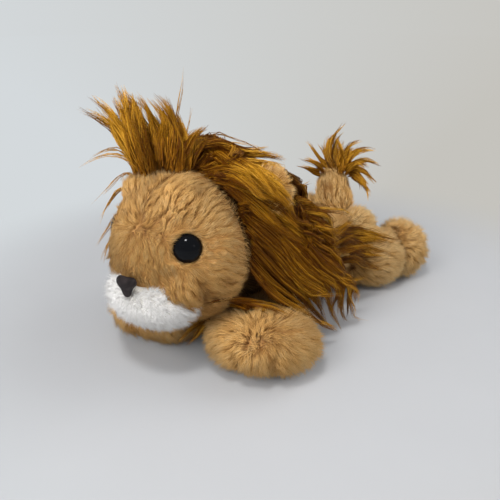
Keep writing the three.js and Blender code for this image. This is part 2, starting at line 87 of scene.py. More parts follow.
# Places and sizes in millimetres. The face looks along -Y and the lion's left side is +X.
SKIN_INSET = 5.0  # from the outside of the pile in to the backing cloth
HEAD_CENTRE = np.array([0.0, -123.0, 89.0])
HEAD_TURN = math.radians(7)
HEAD_HALF = np.array([58.0, 54.0, 61.0])
SHOULDER = (27.0, -46.0)
HIP = (32.0, 42.0)
TAIL_ROOT = np.array([0.0, 74.0, 62.0])
TAIL_TIP = np.array([-3.0, 64.0, 112.0])
LEG_FULLNESS = 2.6
LEG_FLAT_DEPTH = 2.0  # how far the floor presses a leg's underside flat
EYE_SHARES = (0.69, -0.63, 0.31)
EYE_RADIUS = 10.1
EYE_HEIGHT = 6.8
EYE_SUNK = 7.6
SOCKET_GAP = 0.8  # how much deeper than its eye a socket is
SOCKET_RIM = (-0.3, 1.6)  # where its wall starts and ends, from the eye's edge
PARTING = (40, -34, 19)  # by each eye, where the face's pile is combed away from
# Painted shade: about this place the lower cheeks, turned from the light, are made darker
CHEEK_PAINTED_SHADE, CHEEK_PAINTED_SHADE_WIDTH = (42, -26, -24), 18
NOSE_CENTRE = np.array([5.2, -57.0, -9.4])
NOSE_HALF = (10, 9)  # half width and half height of what the nose covers
NOSE_POLE = np.array([4, -62, -14])  # where the muzzle's pile is combed away from
FLOOR_GAP = 0.3 * MM
RESTING_SHARES = np.array([0.25, 0.8])  # along a leg, where its thigh and its paw rest
TOE_CREASES = (-14, 13)  # across a paw, from its middle
TOE_CREASE_DEPTH, TOE_CREASE_WIDTH = 3.2, 2.6
FOOT_CREASE = 22  # from the haunch's middle towards the foot
FOOT_CREASE_DEPTH, FOOT_CREASE_WIDTH = 3.0, 2.4
HAUNCH_PAINTED_SHADE, HAUNCH_PAINTED_SHADE_WIDTH = (48, 46, 27), 9  # painted shade on the left thigh, and on the other, where the ends of the mane shadow it

TORSO = {
    "spine": ((0, -94, 42.5), (0, 94, 42.5)), "width": 50, "height": 43,
    "width_shares": (0.8, 0.92, 1, 1, 0.94), "height_shares": (0.84, 0.95, 1, 1, 0.94),
}
BALL = {
    "spine": ((0, 0, -61), (0, 0, 61)), "width": 58, "height": 54,
    "width_shares": (0.92, 1.03, 1, 0.92), "height_shares": (0.94, 1, 1, 0.94), "upward": ALONG,
}
FRONT_LEG = {
    "width": 37, "height": 27, "width_shares": (0.66, 0.76, 1.1, 1.22, 1.04),
    "height_shares": (0.86, 0.86, 1, 1.04, 0.92), "fullness": LEG_FULLNESS,
}
HIND_LEG = {
    "width": 29, "height": 33, "width_shares": (1.2, 1.46, 1.15, 0.88, 0.93),
    "height_shares": (0.98, 1.03, 0.9, 1, 0.96), "fullness": LEG_FULLNESS,
}
# Middles and half sizes of the stuffed haunch, of its rise towards the tail, and of the foot, on the left
HAUNCH = ((45, 77, 29), (26, 27, 27))
HAUNCH_RISE = (((40, 68, 45), (18, 18, 18)), ((29, 70, 57), (17, 17, 18)))
FOOT = ((52.7, 113.6, 29), (24, 21, 26.5))
TAIL = {"width": 16, "height": 16, "width_shares": (1.45, 1.28, 1.12, 1.08), "upward": ALONG, "inset": 4,
        "fullness": 3}
# Middles and half sizes of the cheeks and brows, in the head's frame
HEAD_PUFFS = (((33, -33, -13), (15, 13, 13)), ((-29, -30, -13), (13, 12, 13)),
              ((21, -18, 41), (14, 14, 14)), ((-20, -18, 42), (13, 13, 13)))
SNOUT_SPINE, SNOUT_WIDTH, SNOUT_HEIGHT = ((3, -34, 27), (3, -36, -27)), 28, 23
MUZZLE_SPINE, MUZZLE_WIDTH, MUZZLE_HEIGHT = ((-38, -34, -27), (45, -34, -27)), 31, 22
BROWN_BEHIND = 12  # in the head's frame, where its backing turns brown under the mane
EAR_ROOT = np.array([33.0, 30.0, 30.0])
EAR_LEAN = np.array([0.74, 0.42, 0.53])
EAR_LENGTH, EAR_WIDTH, EAR_THICKNESS = 44.0, 21, 4.5

# Soft folds of the head on its left, in its own frame: depth (a swelling's is negative), width and places
FACE_FOLDS = (
    (4.4, 4.5, ((0, -46, 33), (6, -44, 35), (14, -43, 35), (20, -42, 32))),
    (3.4, 4.0, ((29, -38, 17), (32, -44, 11), (34, -44, 3), (37, -42, -9), (41, -41, -17))),
    (3.4, 4.0, ((42, -29, 9), (49, -30, 1), (49, -30, -10), (48, -27, -19))),
    (-2.0, 12.0, ((11, -52, 17),)),
    (-3.6, 5.0, ((30, -42, 11), (30, -42, 23), (34, -38, 32))),
    (-2.0, 9.0, ((41, -38, -4),)),
    (-3.0, 14.0, ((56, -18, -8),)),
)

# The nose's outline from the front, from its broad top down to its point on the left, then its rounded
# front as shares of that outline and how far each stands out
NOSE_OUTLINE = ((0, 7.6), (4, 8.6), (8.2, 8.7), (11.2, 6.2), (10.6, 2.6), (7.4, 0.2), (4.6, -2.4),
                (3.4, -5.6), (2, -8.6), (0, -9.6))
NOSE_SCALE, NOSE_TILT = (0.9, 0.88), 0.14
NOSE_RINGS = ((1.0, 0.0), (1.03, -1.8), (0.97, -3.4), (0.8, -4.8), (0.5, -5.7), (0.18, -6.0))
EYE_SHANK = ((0.001, -15), (2.2, -15), (2.6, -14.4), (2.6, 0))  # radius and height, from its end to the dome

# Locks of the mane and of the tail tuft: half width, strands, tone, and the places of the lock's middle
LINE_POINTS = 12
NOT_NEIGHBOURS = 45  # two locks further apart than this get none between them
STRANDS_BETWEEN = 56
NEAR, DEEPEST = 40, 30
BLEND_START, BLEND_END = np.array([0, -95, 89.0]), np.array([0, -45, 89.0])
UPPER_LOCKS = (
    (7, 100, 0.62, ((-22, -89, 154), (-12, -73, 155), (10, -69, 154), (26, -72, 152), (38, -76, 148))),
    (7, 90, 0.5, ((-26, -95, 151), (-21, -78, 151), (-5, -69, 154), (16, -70, 152), (33, -77, 149))),
    (3, 45, 0.85, ((-17, -84, 148), (15, -85, 153), (39, -84, 150),
        (54, -79, 144), (65, -74, 136), (64, -59, 120))),
    (6, 80, 0.6, ((-4, -103, 144), (2, -96, 147), (11, -91, 150), (30, -89, 151),
        (49, -88, 144), (64, -87, 133))),
    (6, 80, 0.4, ((9, -106, 142), (16, -101, 145), (29, -99, 147), (46, -97, 142), (62, -96, 131))),
    (7, 110, 0.45, ((-17, -89, 143), (7, -89, 150), (31, -89, 147), (48, -84, 142),
        (62, -82, 136), (63, -69, 122), (65, -56, 107), (69, -46, 97))),
    (7, 110, 0.42, ((23, -111, 144), (34, -96, 142), (45, -85, 136), (60, -79, 132),
        (60, -61, 121), (65, -52, 111), (68, -44, 101))),
    (6, 80, 0.3, ((34, -110, 137), (28, -78, 127), (35, -63, 119), (52, -67, 114), (62, -68, 107))),
    (6, 60, 0.5, ((39, -53, 140), (38, -41, 132), (37, -27, 127), (36, -14, 124))),
    (6, 70, 0.42, ((39, -45, 132), (38, -30, 122), (37, -15, 115), (37, -4, 109))),
    (7, 90, 0.36, ((41, -44, 126), (52, -45, 119), (60, -37, 111), (62, -19, 100), (61, 3, 88))),
    (3, 40, 0.35, ((50, -38, 119), (63, -33, 108), (65, -13, 96), (66, 2, 89), (61, 15, 91), (51, 26, 94))),
    (6, 80, 0.35, ((56, -57, 117), (64, -48, 106), (69, -30, 96), (71, -9, 87), (70, 8, 81))),
    (6, 70, 0.5, ((43, -52, 132), (50, -40, 125), (58, -28, 113), (64, -14, 97), (69, -2, 79))),
    (5, 50, 0.45, ((41, -45, 134), (47, -30, 128), (53, -14, 117), (58, 2, 102), (61, 14, 92))),
)
LOWER_LOCKS = (
    (6, 80, 0.35, ((30, -106, 140), (42, -97, 130), (54, -88, 117), (63, -78, 104), (70, -64, 92))),
    (4, 50, 0.35, ((54, -82, 126), (62, -68, 116), (68, -53, 107), (70, -38, 98))),
    (6, 90, 0.45, ((41, -106, 131), (45, -85, 120), (52, -76, 110), (60, -71, 102),
        (67, -63, 94), (74, -50, 86), (80, -42, 77))),
    (7, 100, 0.42, ((46, -105, 124), (47, -91, 112), (52, -81, 102),
        (65, -69, 89), (72, -58, 80), (79, -48, 74))),
    (7, 100, 0.32, ((42, -102, 125), (49, -87, 111), (60, -74, 94), (69, -63, 78),
        (76, -51, 59), (79, -37, 38), (81, -27, 20))),
    (7, 110, 0.4, ((47, -103, 119), (51, -89, 106), (61, -77, 89), (69, -66, 71),
        (75, -54, 51), (74, -41, 27), (74, -35, 11))),
    (7, 110, 0.5, ((50, -103, 116), (52, -92, 104), (59, -84, 92), (67, -71, 76),
        (74, -59, 59), (78, -44, 38), (79, -26, 10), (79, -20, 4))),
    (7, 110, 0.46, ((54, -102, 103), (57, -88, 85), (62, -75, 68), (69, -64, 52),
        (70, -49, 31), (75, -39, 17), (78, -28, 5))),
    (6, 90, 0.42, ((56, -102, 97), (53, -88, 81), (54, -77, 66), (61, -69, 53),
        (66, -62, 41), (76, -65, 36))),
    (6, 80, 0.5, ((58, -100, 76), (66, -90, 58), (76, -74, 43), (83, -58, 30), (88, -37, 14))),
    (5, 60, 0.3, ((52, -95, 87), (46, -79, 68), (47, -71, 54), (55, -81, 48))),
    (5, 60, 0.35, ((28, -64, 63), (36, -57, 50), (47, -60, 44), (57, -72, 41))),
    (7, 100, 0.55, ((61, -64, 108), (69, -47, 97), (72, -21, 84), (73, 7, 73), (74, 30, 66))),
    (6, 80, 0.35, ((55, -63, 114), (65, -56, 102), (72, -41, 90), (74, -19, 74), (75, 2, 60))),
    (7, 100, 0.45, ((66, -64, 97), (74, -48, 83), (78, -27, 69), (81, -6, 55), (82, 11, 43))),
    (7, 100, 0.42, ((69, -63, 91), (75, -54, 75), (79, -39, 54), (80, -23, 31), (78, -7, 6))),
    (6, 90, 0.45, ((71, -60, 87), (77, -48, 70), (80, -30, 51), (82, -12, 33), (83, 4, 18))),
    (3, 30, 0.55, ((76, -54, 80), (80, -39, 53), (82, -20, 34), (85, -6, 24), (87, 13, 4))),
    (6, 80, 0.4, ((77, -53, 77), (82, -42, 68), (86, -25, 55), (88, -6, 41))),
    (5, 60, 0.42, ((46, 12, 76), (44, 36, 68), (46, 59, 62), (63, 63, 59), (74, 78, 53))),
    (5, 60, 0.38, ((56, 4, 74), (57, 24, 62), (58, 44, 52), (71, 52, 51), (78, 64, 47))),
    (4, 50, 0.4, ((66, 0, 62), (68, 22, 48), (69, 41, 37), (79, 49, 35))),
    (1.5, 16, 0.3, ((54, -146, 69), (55, -124, 64), (56, -104, 57), (65, -94, 54),
        (79, -94, 52), (91, -93, 49))),
    (1.5, 12, 0.3, ((38, -99, 44), (59, -101, 53), (77, -101, 54), (88, -97, 50))),
)
# Dark locks under the chin, between the paws: brown hair whose low tones also paint the shade that falls
# there
CHEST_LOCKS = (
    (4, 70, 0.1, ((62, -112, 53), (46, -112, 47), (31, -116, 43), (18, -124, 34))),
    (4, 70, 0.08, ((58, -103, 47), (42, -105, 41), (28, -110, 37), (12, -118, 31))),
    (5, 80, 0.12, ((34, -92, 40), (30, -104, 34), (28, -114, 26), (24, -126, 14))),
    (5, 80, 0.1, ((26, -92, 44), (22, -106, 36), (20, -120, 24), (15, -136, 10))),
    (5, 80, 0.08, ((14, -92, 46), (11, -106, 42), (8, -120, 34), (4, -138, 22))),
    (5, 80, 0.1, ((4, -94, 46), (0, -110, 44), (-4, -126, 38), (-8, -142, 30))),
)
CROWN_LOCKS = (
    (8, 110, 0.72, ((-25, -137, 147), (-32, -145, 165), (-36, -153, 179), (-39, -162, 188),
        (-41, -171, 192))),
    (9, 130, 0.75, ((-24, -137, 145), (-31, -141, 164), (-37, -146, 181), (-41, -153, 192),
        (-46, -160, 199))),
    (9, 130, 0.7, ((-18, -137, 147), (-25, -138, 165), (-30, -140, 181), (-35, -141, 195), (-40, -142, 206))),
    (9, 120, 0.6, ((-19, -129, 145), (-25, -128, 163), (-33, -128, 179), (-39, -130, 190), (-46, -134, 199))),
    (9, 120, 0.55, ((-14, -126, 147), (-18, -123, 163), (-23, -123, 177), (-28, -126, 188),
        (-34, -133, 197))),
    (8, 110, 0.5, ((-7, -124, 149), (-10, -120, 164), (-13, -119, 176), (-19, -121, 187), (-26, -127, 195))),
    (8, 110, 0.5, ((-9, -117, 148), (-13, -112, 162), (-19, -109, 176), (-24, -111, 187), (-31, -116, 195))),
    (8, 110, 0.58, ((-2, -116, 150), (-3, -112, 161), (-5, -111, 171), (-8, -112, 179))),
    (9, 120, 0.4, ((-29, -127, 146), (-33, -126, 157), (-35, -128, 168), (-37, -130, 177), (-41, -134, 187))),
    (9, 120, 0.38, ((-19, -113, 146), (-23, -110, 157), (-27, -108, 167), (-30, -109, 176))),
    (8, 90, 0.35, ((-10, -115, 148), (-13, -105, 160), (-13, -94, 168), (-11, -86, 172))),
    (8, 90, 0.4, ((-3, -111, 152), (-4, -100, 159), (-5, -89, 162), (-1, -77, 161))),
)
STRAY_LOCKS = (
    (1.2, 8, 0.35, ((-31, -70, 163), (-2, -70, 163), (25, -70, 160), (40, -70, 155), (53, -70, 149))),
    (0.8, 4, 0.5, ((-12, -78, 158), (10, -72, 161), (28, -66, 159), (44, -64, 152))),
    (1.1, 12, 0.55, ((-11, -116, 159), (-17, -111, 175), (-20, -102, 194), (-25, -93, 217))),
    (0.8, 5, 0.6, ((-9, -109, 165), (-10, -102, 180), (-14, -94, 197))),
    (1.6, 12, 0.65, ((-33, -141, 153), (-41, -150, 157), (-48, -163, 153), (-55, -174, 147))),
    (1.2, 8, 0.6, ((-41, -140, 158), (-51, -151, 157), (-58, -162, 151), (-61, -166, 148))),
    (1.2, 8, 0.5, ((-38, -140, 143), (-41, -154, 135), (-40, -165, 126), (-42, -171, 120))),
    (1.4, 10, 0.5, ((-48, -138, 129), (-50, -151, 120), (-45, -162, 110), (-43, -167, 105))),
    (1.1, 7, 0.5, ((-55, -139, 127), (-55, -150, 115), (-53, -160, 106))),
    (2.6, 20, 0.5, ((-70, -132, 100), (-66, -145, 92), (-62, -156, 87), (-59, -163, 81))),
    (2.6, 20, 0.45, ((-71, -134, 88), (-68, -145, 79), (-62, -154, 75), (-57, -160, 68))),
)
TUFT_LOCKS = tuple((2.2, 90, 0.48, places) for places in (
    ((2, 67, 109), (-12, 68, 123), (-13, 74, 134), (-8, 82, 143), (-6, 89, 156)),
    ((0, 74, 108), (-10, 78, 121), (-13, 85, 132), (-9, 93, 139)),
    ((6, 73, 111), (8, 79, 122), (14, 88, 127), (24, 97, 127)),
    ((11, 76, 109), (18, 82, 112), (26, 87, 106), (34, 90, 99)),
    ((13, 77, 106), (23, 78, 102), (31, 78, 94), (35, 77, 87)),
    ((-7, 59, 110), (-14, 50, 118), (-22, 41, 124)),
    ((-10, 57, 107), (-17, 49, 110), (-24, 41, 114)),
    ((-1, 78, 107), (-6, 87, 119), (-4, 98, 128), (1, 108, 131)),
    ((-5, 69, 107), (-16, 64, 118), (-25, 61, 127), (-31, 59, 134)),
    ((3, 79, 107), (7, 94, 114), (13, 103, 115), (22, 112, 110)),
    ((8, 64, 110), (7, 66, 123), (4, 66, 134), (-1, 66, 141)),
    ((13, 67, 110), (19, 68, 118), (25, 70, 121), (32, 72, 118)),
))
# The nape's locks run side by side along one path, over a shorter and lower row: share of each lock's own x,
# y and z. The row droops to its sides, by NAPE_DROOP at NAPE_HALF from the middle.
NAPE_DROOP, NAPE_HALF = 14, 30
NAPE_PATH = ((0.5, -104, 146), (0.8, -84, 152), (1, -58, 145), (1.15, -34, 130), (1.2, -8, 108), (1.2, 6, 94))
NAPE_LOW_PATH = ((0.7, -110, 143), (0.95, -94, 143), (1.1, -76, 139), (1.2, -58, 128))
NAPE_TONES = ((-33, 0.45), (-22, 0.55), (-11, 0.4), (0, 0.5), (11, 0.6), (22, 0.45), (33, 0.5))
NAPE_LOCKS = tuple(
    (7, 90, tone, tuple((x * share, y, z - NAPE_DROOP * (x / NAPE_HALF) ** 2) for share, y, z in NAPE_PATH))
    for x, tone in NAPE_TONES) + tuple(
    (8, 60, 0.3, tuple((x * share, y, z) for share, y, z in NAPE_LOW_PATH))
    for x in (-34, -22, -10, 2, 14, 26))

# Tree values that are the same on every piece
TUFT_LENGTHS, TUFT_WIDTHS = (0.65, 1.15), (0.7, 1.25)  # least and most, as shares
TUFT_ROOT_WIDTH, TUFT_TIP_WIDTH = 0.75, 2.4  # how much fuller than a plain cone a tuft is at both ends
STRAND_APART = 0.02  # metres that set a lock's strands apart in the noise that waves them
LOCK_MIDDLE, LOCK_PAINTED_SHADE = 0.45, 0.36  # where across a lock its own tone lies, and how much lighter its core and darker its outer strands are painted, as painted shade
TIP_POWER, TIP_WIDTH = 2.5, 0.12  # how late a strand narrows, and its tip's share of its width
FIELD_MIDDLE, FIELD_GAIN = (0.5, 0.5, 0.5), 4.0  # the noise's colours lie close about their middle
MAP_WIDTH = 0.0004  # of one strand on the pieces' map, which lays tone across and length up

CAMERA_TARGET = Vector((-6, -44, 58)) * MM
CAMERA_AZIMUTH, CAMERA_ELEVATION, CAMERA_DISTANCE = math.radians(45), math.radians(24), 475 * MM
CAMERA_SENSOR, CAMERA_FIELD = 36, math.radians(50)
FLOOR_HALF = 6000.0
FLOOR_FADE = (0.21, 0.42)  # metres from the lion, where the floor passes over into the backdrop
BACKGROUND_LEFT, BACKGROUND_RIGHT = "#D4D9DC", "#C5C3BD"
SKY_COLOUR, SKY_STRENGTH = "#F2F4F7", 0.42
# Lamps: metres to the right, to the front and up, as the camera looks; side, power, and if the eyes mirror it
LAMPS = {
    "window": (-1.1, 1.4, 1.3, 1.1, 26.0, False),
    "bounce": (-0.7, 1.3, 0.25, 0.9, 9.0, False),
    "fill": (1.2, 1.0, 0.8, 1.2, 3.5, False),
    "rear": (1.0, -0.2, 0.9, 1.0, 7.5, False),
    "glint": (-0.15, 0.51, 0.95, 0.15, 4.2, True),
    "faint_glint": (0.62, 0.68, 0.5, 0.03, 0.15, True),
}


class LionSizes(bpy.types.PropertyGroup):
    """Sizes of the lion's cloth and hair"""

    face_pile: bpy.props.FloatProperty(
        name="Face pile", description="Length of the pile on the head", default=8 * MM, min=MM, unit="LENGTH")
    body_pile: bpy.props.FloatProperty(
        name="Body pile", description="Length of the pile on torso, legs and tail", default=10 * MM, min=MM,
        unit="LENGTH")
    tuft_width: bpy.props.FloatProperty(
        name="Tuft width", description="Half width of one small tuft of the pile at its root",
        default=0.26 * MM, min=0.1 * MM, unit="LENGTH")
    pile_per_mm2: bpy.props.FloatProperty(
        name="Pile density", description="Small tufts on one square millimetre", default=2.3, min=0.05)
    hair_width: bpy.props.FloatProperty(
        name="Hair width", description="Half width of one strand of the mane", default=0.28 * MM,
        min=0.1 * MM, unit="LENGTH")
    hair_share: bpy.props.FloatProperty(
        name="Hair amount", description="Share of the mane's strands that are made", default=1.0, min=0.05,
        subtype="FACTOR")
    seed: bpy.props.IntProperty(name="Seed", description="Start of everything that is random", default=11)


def to_linear(code):
    """Linear colour of an sRGB hex value."""
    channels = [int(code[i:i + 2], 16) / 255 for i in (1, 3, 5)]
    return tuple(c / 12.92 if c <= 0.04045 else ((c + 0.055) / 1.055) ** 2.4 for c in channels)


class LionColours(bpy.types.PropertyGroup):
    """Colours of the lion's cloth and hair"""

    tan_root: bpy.props.FloatVectorProperty(
        name="Tan, root", description="Tan pile near its backing", subtype="COLOR",
        default=to_linear("#AE7B3F"))
    tan: bpy.props.FloatVectorProperty(
        name="Tan", description="Tan pile", subtype="COLOR", default=to_linear("#E4B46B"))
    tan_tip: bpy.props.FloatVectorProperty(
        name="Tan, tip", description="Bleached tips of the tan pile", subtype="COLOR",
        default=to_linear("#F4D49A"))
    white: bpy.props.FloatVectorProperty(
        name="White", description="White pile of the muzzle", subtype="COLOR", default=to_linear("#FDFCFA"))
    mane_dark: bpy.props.FloatVectorProperty(
        name="Mane, dark", description="Mane at its roots", subtype="COLOR", default=to_linear("#6A3D08"))
    mane: bpy.props.FloatVectorProperty(
        name="Mane", description="Mane along its length", subtype="COLOR", default=to_linear("#B37D19"))
    mane_light: bpy.props.FloatVectorProperty(
        name="Mane, light", description="Light strands and tips of the mane", subtype="COLOR",
        default=to_linear("#E6AF3E"))
    eye: bpy.props.FloatVectorProperty(
        name="Eye", description="Moulded eye", subtype="COLOR", default=to_linear("#08090C"))
    nose: bpy.props.FloatVectorProperty(
        name="Nose", description="Satin cloth of the nose", subtype="COLOR", default=to_linear("#221C1C"))
    floor: bpy.props.FloatVectorProperty(
        name="Floor", description="Floor and backdrop", subtype="COLOR", default=to_linear("#B3B4B6"))


def sizes():
    return bpy.context.scene.lion_sizes


def colours():
    return bpy.context.scene.lion_colours


# Numbers and forms

def unit(vectors):
    """Vectors of length 1."""
    lengths = np.linalg.norm(vectors, axis=-1, keepdims=True)
    return vectors / np.maximum(lengths, 1e-9)


def ramp(value, low, high):
    """0 up to low, 1 from high, and smooth between them."""
    t = np.clip((value - low) / (high - low), 0, 1)
    return t * t * (3 - 2 * t)


def bump(distance, width):
    """1 at no distance, falling smoothly over about one width."""
    return np.exp(-0.5 * (distance / width) ** 2)


def share_at(shares, t):
    """Value of a row of shares at t from 0 to 1, on a smooth curve through them."""
    row = np.array([shares[0], *shares, shares[-1]], float)
    place = np.clip(t, 0, 1) * (len(shares) - 1)
    i = np.minimum(place.astype(int), len(shares) - 2)
    f = place - i
    before, start, end, after = row[i], row[i + 1], row[i + 2], row[i + 3]
    rise, fall = (end - before) / 2, (after - start) / 2
    return ((2 * start - 2 * end + rise + fall) * f ** 3
            + (3 * end - 3 * start - 2 * rise - fall) * f ** 2 + rise * f + start)


def ring_places(rings):
    """Places of a form's rings along its spine, closer together at both ends."""
    return (1 - np.cos(np.pi * np.arange(1, rings) / rings)) / 2


def end_share(t, fullness):
    """Share of its full thickness that a form with rounded ends has at t from 0 to 1."""
    return (1 - np.abs(2 * t - 1) ** fullness) ** (1 / fullness)


def resting_heights(leg):
    """Heights of a leg's middle at both ends, with its underside pressed a little into the floor."""
    ends = leg["height"] * share_at(leg["height_shares"], RESTING_SHARES)
    t = np.linspace(0, 1, 25)
    half = leg["height"] * share_at(leg["height_shares"], t) * end_share(t, LEG_FULLNESS)
    return ends - (ends[0] + (ends[1] - ends[0]) * t - half).min() - LEG_FLAT_DEPTH


def plump_form(spine, width, height, width_shares=(1, 1), height_shares=None, upward=UP, fullness=2.2,
               inset=SKIN_INSET, rings=34, sides=44):
    """(points, faces) of a closed form that swells along a straight spine and has rounded ends."""
    start, end = (np.array(p, float) for p in (spine[0], spine[-1]))
    axis = unit(end - start)
    start, end = start + axis * inset, end - axis * inset
    side = unit(np.cross(axis, upward))
    lifted = np.cross(side, axis)
    t = ring_places(rings)
    swell = end_share(t, fullness)
    half_width = swell * (width * share_at(width_shares, t) - inset)
    half_height = swell * (height * share_at(height_shares or width_shares, t) - inset)
    angles = 2 * np.pi * np.arange(sides) / sides
    ring = (half_width[:, None, None] * np.cos(angles)[None, :, None] * side
            + half_height[:, None, None] * np.sin(angles)[None, :, None] * lifted)
    middles = start + t[:, None] * (end - start)
    points = np.vstack([start, (middles[:, None] + ring).reshape(-1, 3), end])
    faces = []
    last = len(points) - 1
    for i in range(sides):
        j = (i + 1) % sides
        faces.append((0, 1 + i, 1 + j))
        faces.append((last, 1 + (rings - 2) * sides + j, 1 + (rings - 2) * sides + i))
        for r in range(rings - 2):
            a, b = 1 + r * sides, 1 + (r + 1) * sides
            faces.append((a + i, b + i, b + j, a + j))
    return points, faces


def egg(centre, half):
    """(points, faces) of an oval form about a point."""
    centre = np.array(centre, float)
    return plump_form((centre - (0, 0, half[2]), centre + (0, 0, half[2])), half[0], half[1], upward=ALONG,
                      fullness=2, inset=0, rings=20, sides=24)


HEAD_TURNED = np.array([[math.cos(HEAD_TURN), -math.sin(HEAD_TURN), 0],
                        [math.sin(HEAD_TURN), math.cos(HEAD_TURN), 0], [0, 0, 1]])


def on_head(points):
    """Points of the head's own frame, placed in the lion's."""
    return np.asarray(points, float) @ HEAD_TURNED.T + HEAD_CENTRE


def in_head(points):
    """Points of the lion's frame, in the head's own."""
    return (np.asarray(points, float) - HEAD_CENTRE) @ HEAD_TURNED


def eye_place(side):
    """An eye's place and outward way in the head's frame, on its left (1) or its right (-1)."""
    return HEAD_HALF * EYE_SHARES * (side, 1, 1), unit(np.array(EYE_SHARES) / HEAD_HALF * (side, 1, 1))


def clear_of_nose(co):
    """0 under the nose and 1 round it, for points of the head's frame."""
    across, up = (co[:, 0] - NOSE_CENTRE[0]) / NOSE_HALF[0], (co[:, 2] - NOSE_CENTRE[2]) / NOSE_HALF[1]
    return np.where(co[:, 1] < -40, ramp(np.hypot(across, up), 0.7, 1.0), 1)


# Meshes

def new_object(name, mesh):
    """A mesh as an object of the scene."""
    piece = bpy.data.objects.new(name, mesh)
    bpy.context.scene.collection.objects.link(piece)
    return piece


def mesh_object(name, points, faces):
    """A mesh object of points in millimetres."""
    mesh = bpy.data.meshes.new(name)
    mesh.from_pydata((np.asarray(points) * MM).tolist(), [], faces)
    made = bmesh.new()
    made.from_mesh(mesh)
    bmesh.ops.remove_doubles(made, verts=made.verts, dist=0.01 * MM)
    bmesh.ops.recalc_face_normals(made, faces=made.faces)
    made.to_mesh(mesh)
    made.free()
    return new_object(name, mesh)


def apply_modifiers(piece):
    """Turns a piece and its modifiers into a plain mesh."""
    bpy.context.view_layer.update()
    evaluated = piece.evaluated_get(bpy.context.evaluated_depsgraph_get())
    mesh = bpy.data.meshes.new_from_object(evaluated)
    old = piece.data
    piece.modifiers.clear()
    piece.data = mesh
    mesh.name = piece.name
    bpy.data.meshes.remove(old)
    return piece


def places(mesh):
    """Its points, in metres."""
    co = np.empty(len(mesh.vertices) * 3, np.float32)
    mesh.vertices.foreach_get("co", co)
    return co.reshape(-1, 3).astype(float)


def normals(mesh):
    """The way outwards at each of its points."""
    found = np.empty(len(mesh.vertices) * 3, np.float32)
    mesh.vertices.foreach_get("normal", found)
    return found.reshape(-1, 3).astype(float)


def place_points(mesh, points):
    """Moves a mesh's points to the given places, in metres."""
    mesh.vertices.foreach_set("co", np.asarray(points, np.float32).ravel())
    mesh.update()


def keep_value(mesh, name, values):
    """Stores a number or a vector for each point of a mesh."""
    kind, key = ("FLOAT_VECTOR", "vector") if np.ndim(values) == 2 else ("FLOAT", "value")
    attribute = mesh.attributes.get(name) or mesh.attributes.new(name, kind, "POINT")
    attribute.data.foreach_set(key, np.asarray(values, np.float32).ravel())


def read_value(mesh, name):
    """The number that is stored for each point of a mesh."""
    values = np.empty(len(mesh.vertices), np.float32)
    mesh.attributes[name].data.foreach_get("value", values)
    return values.astype(float)


def stuff(piece, pressure=4.0, most=1.4, frames=20):
    """Lets the stuffing push a skin out, as cloth under pressure; no point moves further than a given way."""
    before = places(piece.data)
    cloth = piece.modifiers.new("Stuffing", "CLOTH")
    cloth.settings.quality = 4
    cloth.settings.mass = 0.2
    cloth.settings.tension_stiffness = cloth.settings.compression_stiffness = 12
    cloth.settings.use_pressure = True
    cloth.settings.uniform_pressure_force = pressure
    cloth.settings.effector_weights.gravity = 0
    cloth.point_cache.frame_start, cloth.point_cache.frame_end = 1, frames
    scene = bpy.context.scene
    for step in range(1, frames + 1):
        scene.frame_set(step)
    apply_modifiers(piece)
    scene.frame_set(1)
    moved = places(piece.data) - before
    length = np.linalg.norm(moved, axis=1, keepdims=True)
    place_points(piece.data, before + moved * np.minimum(1, most * MM / np.maximum(length, 1e-9)))


def merge_and_soften(piece, voxel, smoothing):
    """Turns crossing shells into one closed shell and smooths its edges."""
    merge = piece.modifiers.new("Merge", "REMESH")
    merge.mode, merge.voxel_size, merge.use_smooth_shade = "VOXEL", voxel * MM, True
    soften = piece.modifiers.new("Soften", "SMOOTH")
    soften.factor, soften.iterations = 0.5, smoothing
    apply_modifiers(piece)


def lumps_at(co, size):
    """Soft unevenness at each point, from -1 to 1, with lumps of a given size in millimetres."""
    return np.array([noise.noise(Vector(p / (size * MM))) for p in co])


def sewn_skin(name, forms, voxel=4.6, smoothing=4, lump=0.8, lump_size=22.0):
    """One closed skin over several forms: they are merged, smoothed, stuffed, and given soft lumps."""
    points, faces, count = [], [], 0
    for form_points, form_faces in forms:
        points.append(form_points)
        faces += [tuple(i + count for i in face) for face in form_faces]
        count += len(form_points)
    piece = mesh_object(name, np.vstack(points), faces)
    merge_and_soften(piece, voxel, smoothing)
    stuff(piece)
    finer = piece.modifiers.new("Finer", "SUBSURF")
    finer.levels = finer.render_levels = 1
    apply_modifiers(piece)
    co, out = places(piece.data), normals(piece.data)
    place_points(piece.data, co + out * (lumps_at(co, lump_size) * lump * MM)[:, None])
    return piece


def press(co, out, line, depth, width):
    """Points pressed in along a line of places, or swollen out where the depth is negative."""
    near = np.linalg.norm(co[:, None] - np.array(line, float)[None], axis=2).min(1)
    return co - out * (depth * bump(near, width))[:, None]


def rest_on_floor(piece, height=1.2):
    """Presses a skin flat where it lies on the floor, under its flattened pile."""
    co = places(piece.data)
    co[:, 2] = np.maximum(co[:, 2], height * MM)
    place_points(piece.data, co)


def tree_of(piece):
    """A piece's surface, to look up its nearest point."""
    return BVHTree.FromObject(piece, bpy.context.evaluated_depsgraph_get())


def depth_in(points, tree):
    """How far each point lies inside a closed skin, in metres; negative outside."""
    depths = np.full(len(points), -1.0)
    for i, point in enumerate(points):
        found, out, _, _ = tree.find_nearest(Vector(point), 0.06)
        if found is not None:
            depths[i] = (found - Vector(point)).dot(out)
    return depths


# Materials

